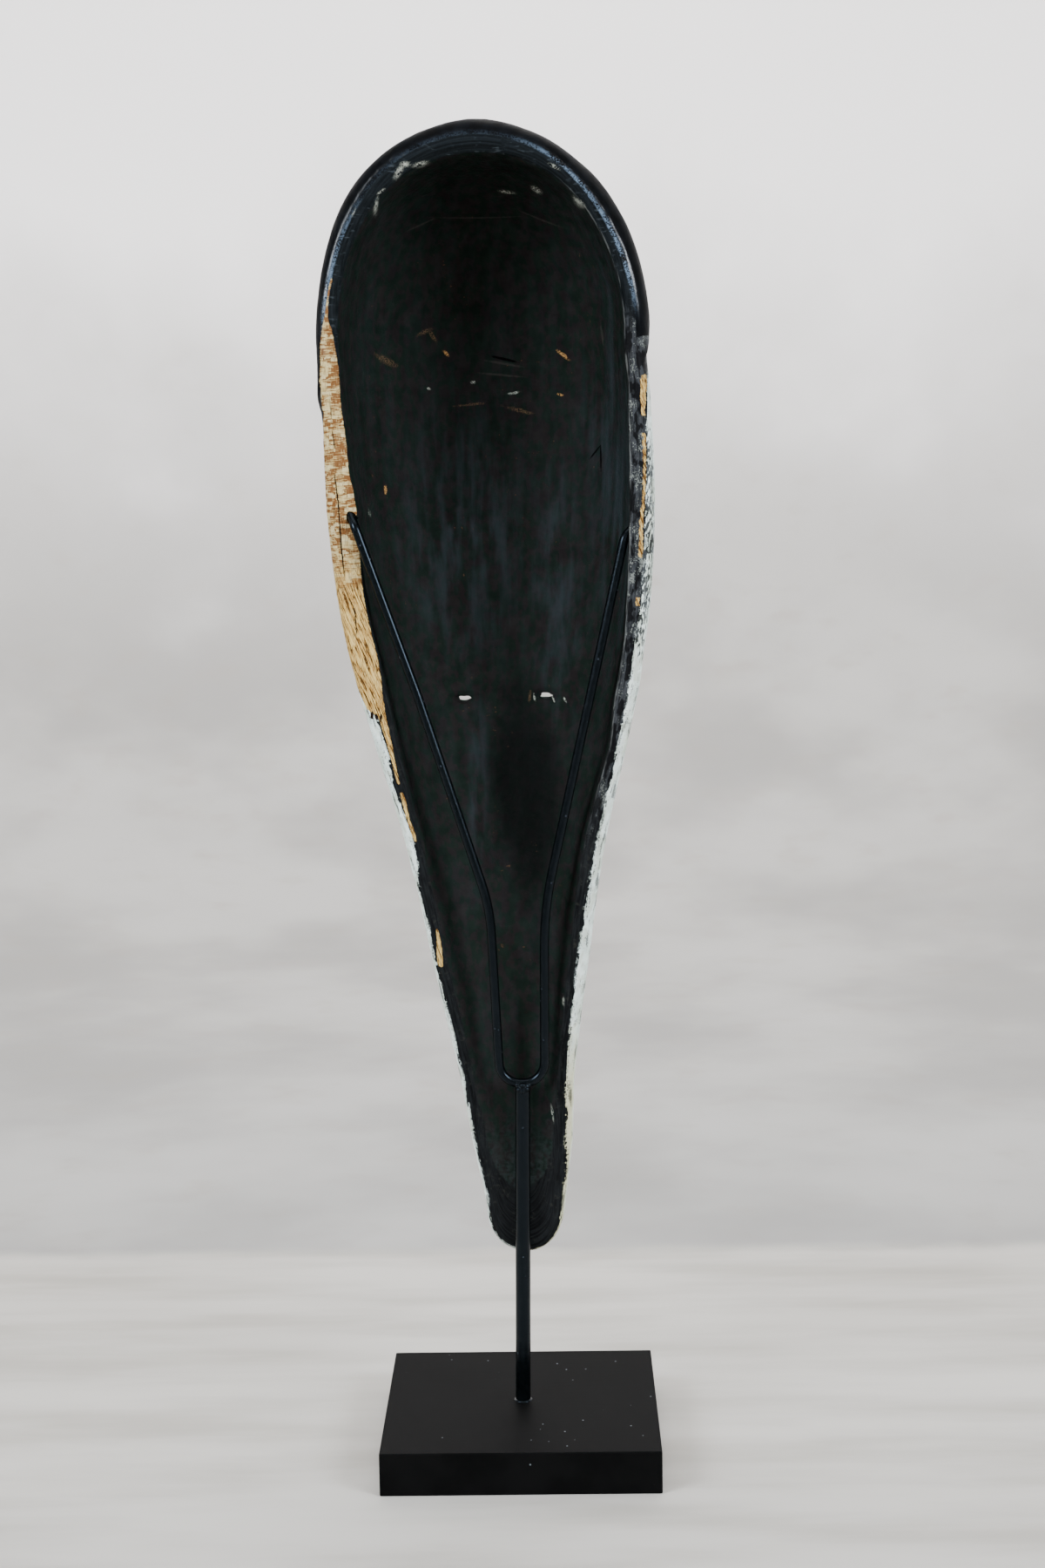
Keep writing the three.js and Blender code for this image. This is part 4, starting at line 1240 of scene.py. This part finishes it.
    # bare wood: thin brown bars in two rows above, slanting fibres below
    wide = rise(inward + ragged, 8.4, 8.8)
    bars = fade(wide, paint.blocks((3.4, 1, 1.8), onEdge), paint.blocks((8, 1, 2.4), onEdge))
    lines = noise(1.1, (5, 1, 0.6), where=onEdge)
    fibres = noise(0.8, (1, 1, 18), detail=4, turn=-22)
    grain = noise(0.5, (0.8, 0.8, 9), detail=3)
    barTone = mix(rise(medium, 0.35, 0.65), (200, 178, 124), (168, 138, 88))
    barred = rise(bars + (lines - 0.5) * 2.0 + (medium - 0.5) * 0.8, 0.5, 0.6)
    barTone = mix(barred * 0.9, barTone, (112, 68, 36))
    pale = rise(bars + (lines - 0.5) * 1.2, 0.34, 0.2)
    barTone = mix(pale * 0.6, barTone, (214, 202, 158))
    gold = mix(rise(fibres, 0.34, 0.62), (222, 190, 118), (158, 114, 56))
    gold = mix(rise(fibres + (small - 0.5) * 0.3, 0.54, 0.61) * 0.95, gold, (66, 40, 18))
    upperBars = rise(height + (medium - 0.5) * 50, 440, 468) * (1 - rightSide)
    bare = mix(upperBars, gold, barTone)
    bare = mix(rise(grain, 0.52, 0.66) * 0.6, bare, (96, 64, 36))
    bare = mix(rise(grain, 0.4, 0.3) * 0.45, bare, (222, 206, 156))
    # painted highlight: a pale line along the bare wood's rounded outer edge
    bare = mix(rise(inward, 1.3, 0.8) * 0.7, bare, (222, 206, 162))
    edgeNoise = ragged * (0.9 + rightSide * 1.4) + (fine - 0.5) * 1.0
    bared = rise(bareIn + edgeNoise, -0.15, 0.15) * inside
    colour = mix(bared, colour, bare)
    crack = rise(splitWidth - abs(split + ragged), 0.0, 0.25) * bared
    hairCracks = rise(noise(2.6, (0.55, 0.55, 7), twist=0.4), 0.68, 0.71) * bared
    crack = crack.atLeast(hairCracks * 0.8).atLeast(blots(marks["cracks"], ragged))
    colour = mix(crack, colour, (30, 20, 14))
    colour = mix(blots(marks["splinter"], ragged * 0.6), colour, (236, 212, 160))

    rough = fade(onRim, 0.6 - (streaks - 0.5) * 0.3, 0.48 + (small - 0.5) * 0.3)
    rough = fade(chalky, rough, 0.85)
    rough = fade(capped, rough, 0.5 + (medium - 0.5) * 0.2)
    rough = fade(bared, rough, 0.8)
    bumps = (small - 0.5) * 0.5 + (fine - 0.5) * 0.12
    bumps = bumps + (streaks - 0.5) * 0.5 * (1 - onRim)
    bumps = fade(capped, bumps, (medium - 0.5) * 0.35 + (small - 0.5) * 0.1)
    bumps = bumps + chalky * 0.18
    bumps = fade(bared, bumps, (grain - 0.5) * 0.4 + (bars - 0.5) * 0.3 - crack * 0.9 - 0.25)
    sparkle = ridge * (0.15 + shine * 0.6) * (0.5 + rise(fine, 0.42, 0.6) * 0.5)
    paint.feed(paint.shader.inputs["Coat Weight"], sparkle.atLeast(polished * 0.35))
    return paint.finish(colour, rough, bumps, **{"Specular IOR Level": 0.02, "Coat Roughness": 0.2})


def rodPaint():
    paint = Paint("satinBlackSteel")
    lumps = paint.noise(3.2, detail=3)
    fine = paint.noise(0.6)
    colour = paint.mix(paint.rise(lumps, 0.35, 0.7), (2, 4, 4), (6, 8, 9))
    specks = paint.rise(paint.spots(7), 0.1, 0.06)
    colour = paint.mix(specks * 0.3, colour, (80, 88, 98))
    rough = 0.2 + (lumps - 0.5) * 0.08
    sheen = {"Specular IOR Level": 0.18, "Specular Tint": (0.62, 0.8, 1.0, 1)}
    return paint.finish(colour, rough, (lumps - 0.5) * 0.06 + (fine - 0.5) * 0.02, **sheen)


def footPaint():
    paint = Paint("satinBlackBlock")
    rise, noise = paint.rise, paint.noise
    mottle = noise(26, detail=4)
    fine = noise(0.7)
    grain = noise(2.4, (14, 1, 1))
    colour = paint.mix(rise(mottle, 0.3, 0.7), (9, 9, 9), (14, 14, 14))
    sprinkle = rise(noise(60, detail=1), 0.5, 0.62)
    specks = rise(paint.spots(9), 0.075, 0.045) * sprinkle
    colour = paint.mix(specks * 0.8, colour, (150, 160, 165))
    rough = 0.55 + (mottle - 0.5) * 0.12 + specks * 0.3
    bumps = (fine - 0.5) * 0.03 + (grain - 0.5) * 0.025
    return paint.finish(colour, rough, bumps, **{"Specular IOR Level": 0.02})


stage = {
    "floor": 1500,
    "fillet": 2000,
    "filletSteps": 16,
    "wall": 4200,
    "under": -0.2,  # the floor lies just under the block
    "centre": 0.1,
    "sides": 96,
}


def stagePaint():
    paint = Paint("paleStudio")
    rise, mix, noise = paint.rise, paint.mix, paint.noise
    clouds = noise(420, (1, 1, 1.6), detail=4)
    mottle = noise(70, detail=4)
    drag = noise(60, (5, 1, 1), detail=4)
    low = mix(rise(clouds, 0.35, 0.65), (168, 166, 163), (142, 140, 137))
    low = mix(rise(mottle, 0.5, 0.8) * 0.35, low, (144, 137, 128))
    away = paint.node("ShaderNodeSeparateXYZ", {}, {"Vector": paint.place}, 1)
    above = paint.node("ShaderNodeSeparateXYZ", {}, {"Vector": paint.place}, 2)
    # painted light: the wall turns lighter towards the top
    high = rise(above + (clouds - 0.5) * 0.9, 0.3, 1.3)
    colour = mix(high, low, (238, 236, 236))
    onFloor = rise(away + (mottle - 0.5) * 0.03, 0.42, 0.38) * rise(above, 0.04, 0.01)
    floorTone = mix(rise(drag, 0.35, 0.7), (200, 195, 187), (172, 166, 157))
    colour = mix(onFloor * 0.8, colour, floorTone)
    return paint.finish(colour, 0.8)


# a round studio: the floor sweeps up into the wall on every side
def makeStage():
    floor, fillet, under, steps = (stage[key] for key in ("floor", "fillet", "under", "filletSteps"))
    rows = [(stage["centre"], under), (floor, under)]
    for i in range(1, steps + 1):
        angle = 0.5 * math.pi * i / steps
        rows.append((floor + fillet * math.sin(angle), fillet - fillet * math.cos(angle) + under))
    rows.append((floor + fillet, stage["wall"]))
    sweep = turned("studioSweep", rows, stage["sides"])
    work = bmesh.new()
    work.from_mesh(sweep.data)
    rims = [face for face in work.faces if len(face.verts) > 4 and face.calc_center_median().z > 1]
    bmesh.ops.delete(work, geom=rims, context="FACES")
    work.to_mesh(sweep.data)
    work.free()
    sweep.data.materials.append(stagePaint())


cool, warm = (0.84, 0.92, 1.0), (1.0, 0.98, 0.96)
lamps = {
    # place, what it lights, size, power and colour
    "left": ((-1500, -1250, 1450), (0, 0, 500), 800, 56, cool),
    "right": ((1550, -1250, 1350), (0, 0, 500), 800, 58, cool),
    "top": ((0, -100, 2700), (0, 0, 0), 2200, 36, warm),
    "wash": ((0, 900, 2900), (0, 3400, 1900), 1500, 165, warm),
    "front": ((200, 1500, 2600), (0, 0, 500), 1200, 14, warm),
}
air = {"tone": (232, 234, 236), "strength": 0.3}


def makeLamps():
    for name, (place, target, size, power, colour) in lamps.items():
        data = bpy.data.lights.new(name + "Lamp", "AREA")
        data.size = size / 1000
        data.energy = power
        data.color = colour
        made = placed(name + "Lamp", data)
        made.location = Vector(place) / 1000
        aim = Vector(target) / 1000 - made.location
        made.rotation_euler = aim.to_track_quat("-Z", "Y").to_euler()
        made.visible_camera = False
    world = bpy.data.worlds.new("studioAir")
    world.use_nodes = True
    glow = world.node_tree.nodes["Background"].inputs
    glow["Color"].default_value = tint(*air["tone"])
    glow["Strength"].default_value = air["strength"]
    bpy.context.scene.world = world


makeStage()
makeLamps()
print("stage and lamps ready")

rodFinish = rodPaint()
tree = rodNodes()
fork = makeRod("forkRod", tree, forkPath(), stand["rodRadius"], rodFinish, stand["paintLumps"])
postRadius = stand["postRadius"] - stand["postEasing"]
shaft = makeRod("postShaft", tree, stand["postEnds"], postRadius, rodFinish, stand["postLumps"])
ringRows = [(radius, foot["top"] + rise) for radius, rise in stand["ring"]]
ring = turned("postRing", ringRows, stand["ringSides"], rodFinish, stand["ringMiddle"])
post = joined("postRod", [shaft, ring])
bead = makeWeld(rodFinish)
block = makeFoot(footPaint())
print("stand made")

mask, world, paints = carveMask(woodPaint())
print("mask carved:", len(mask.data.polygons), "faces")
forkCutter = makeRod("forkCutter", tree, forkPath(), stand["rodRadius"] + stand["socketGap"], None, 0)
mask = cutAway(mask, [eyeCutter(-1), eyeCutter(1), forkCutter])
writeFields(mask, world, paints)
print("mask cut:", len(mask.data.polygons), "faces")

finished = {"footBlock": ("foot", "foot_paint", block), "postRod": ("post", "rod_paint", post)}
finished.update({"weldBead": ("weld", "rod_paint", bead), "forkRod": ("fork", "rod_paint", fork)})
finished["maskCarving"] = ("mask", "carved_wood", mask)
for name, (node, slot, piece) in finished.items():
    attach(piece, "root")
    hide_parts(node)
print("pieces ride on the frame")
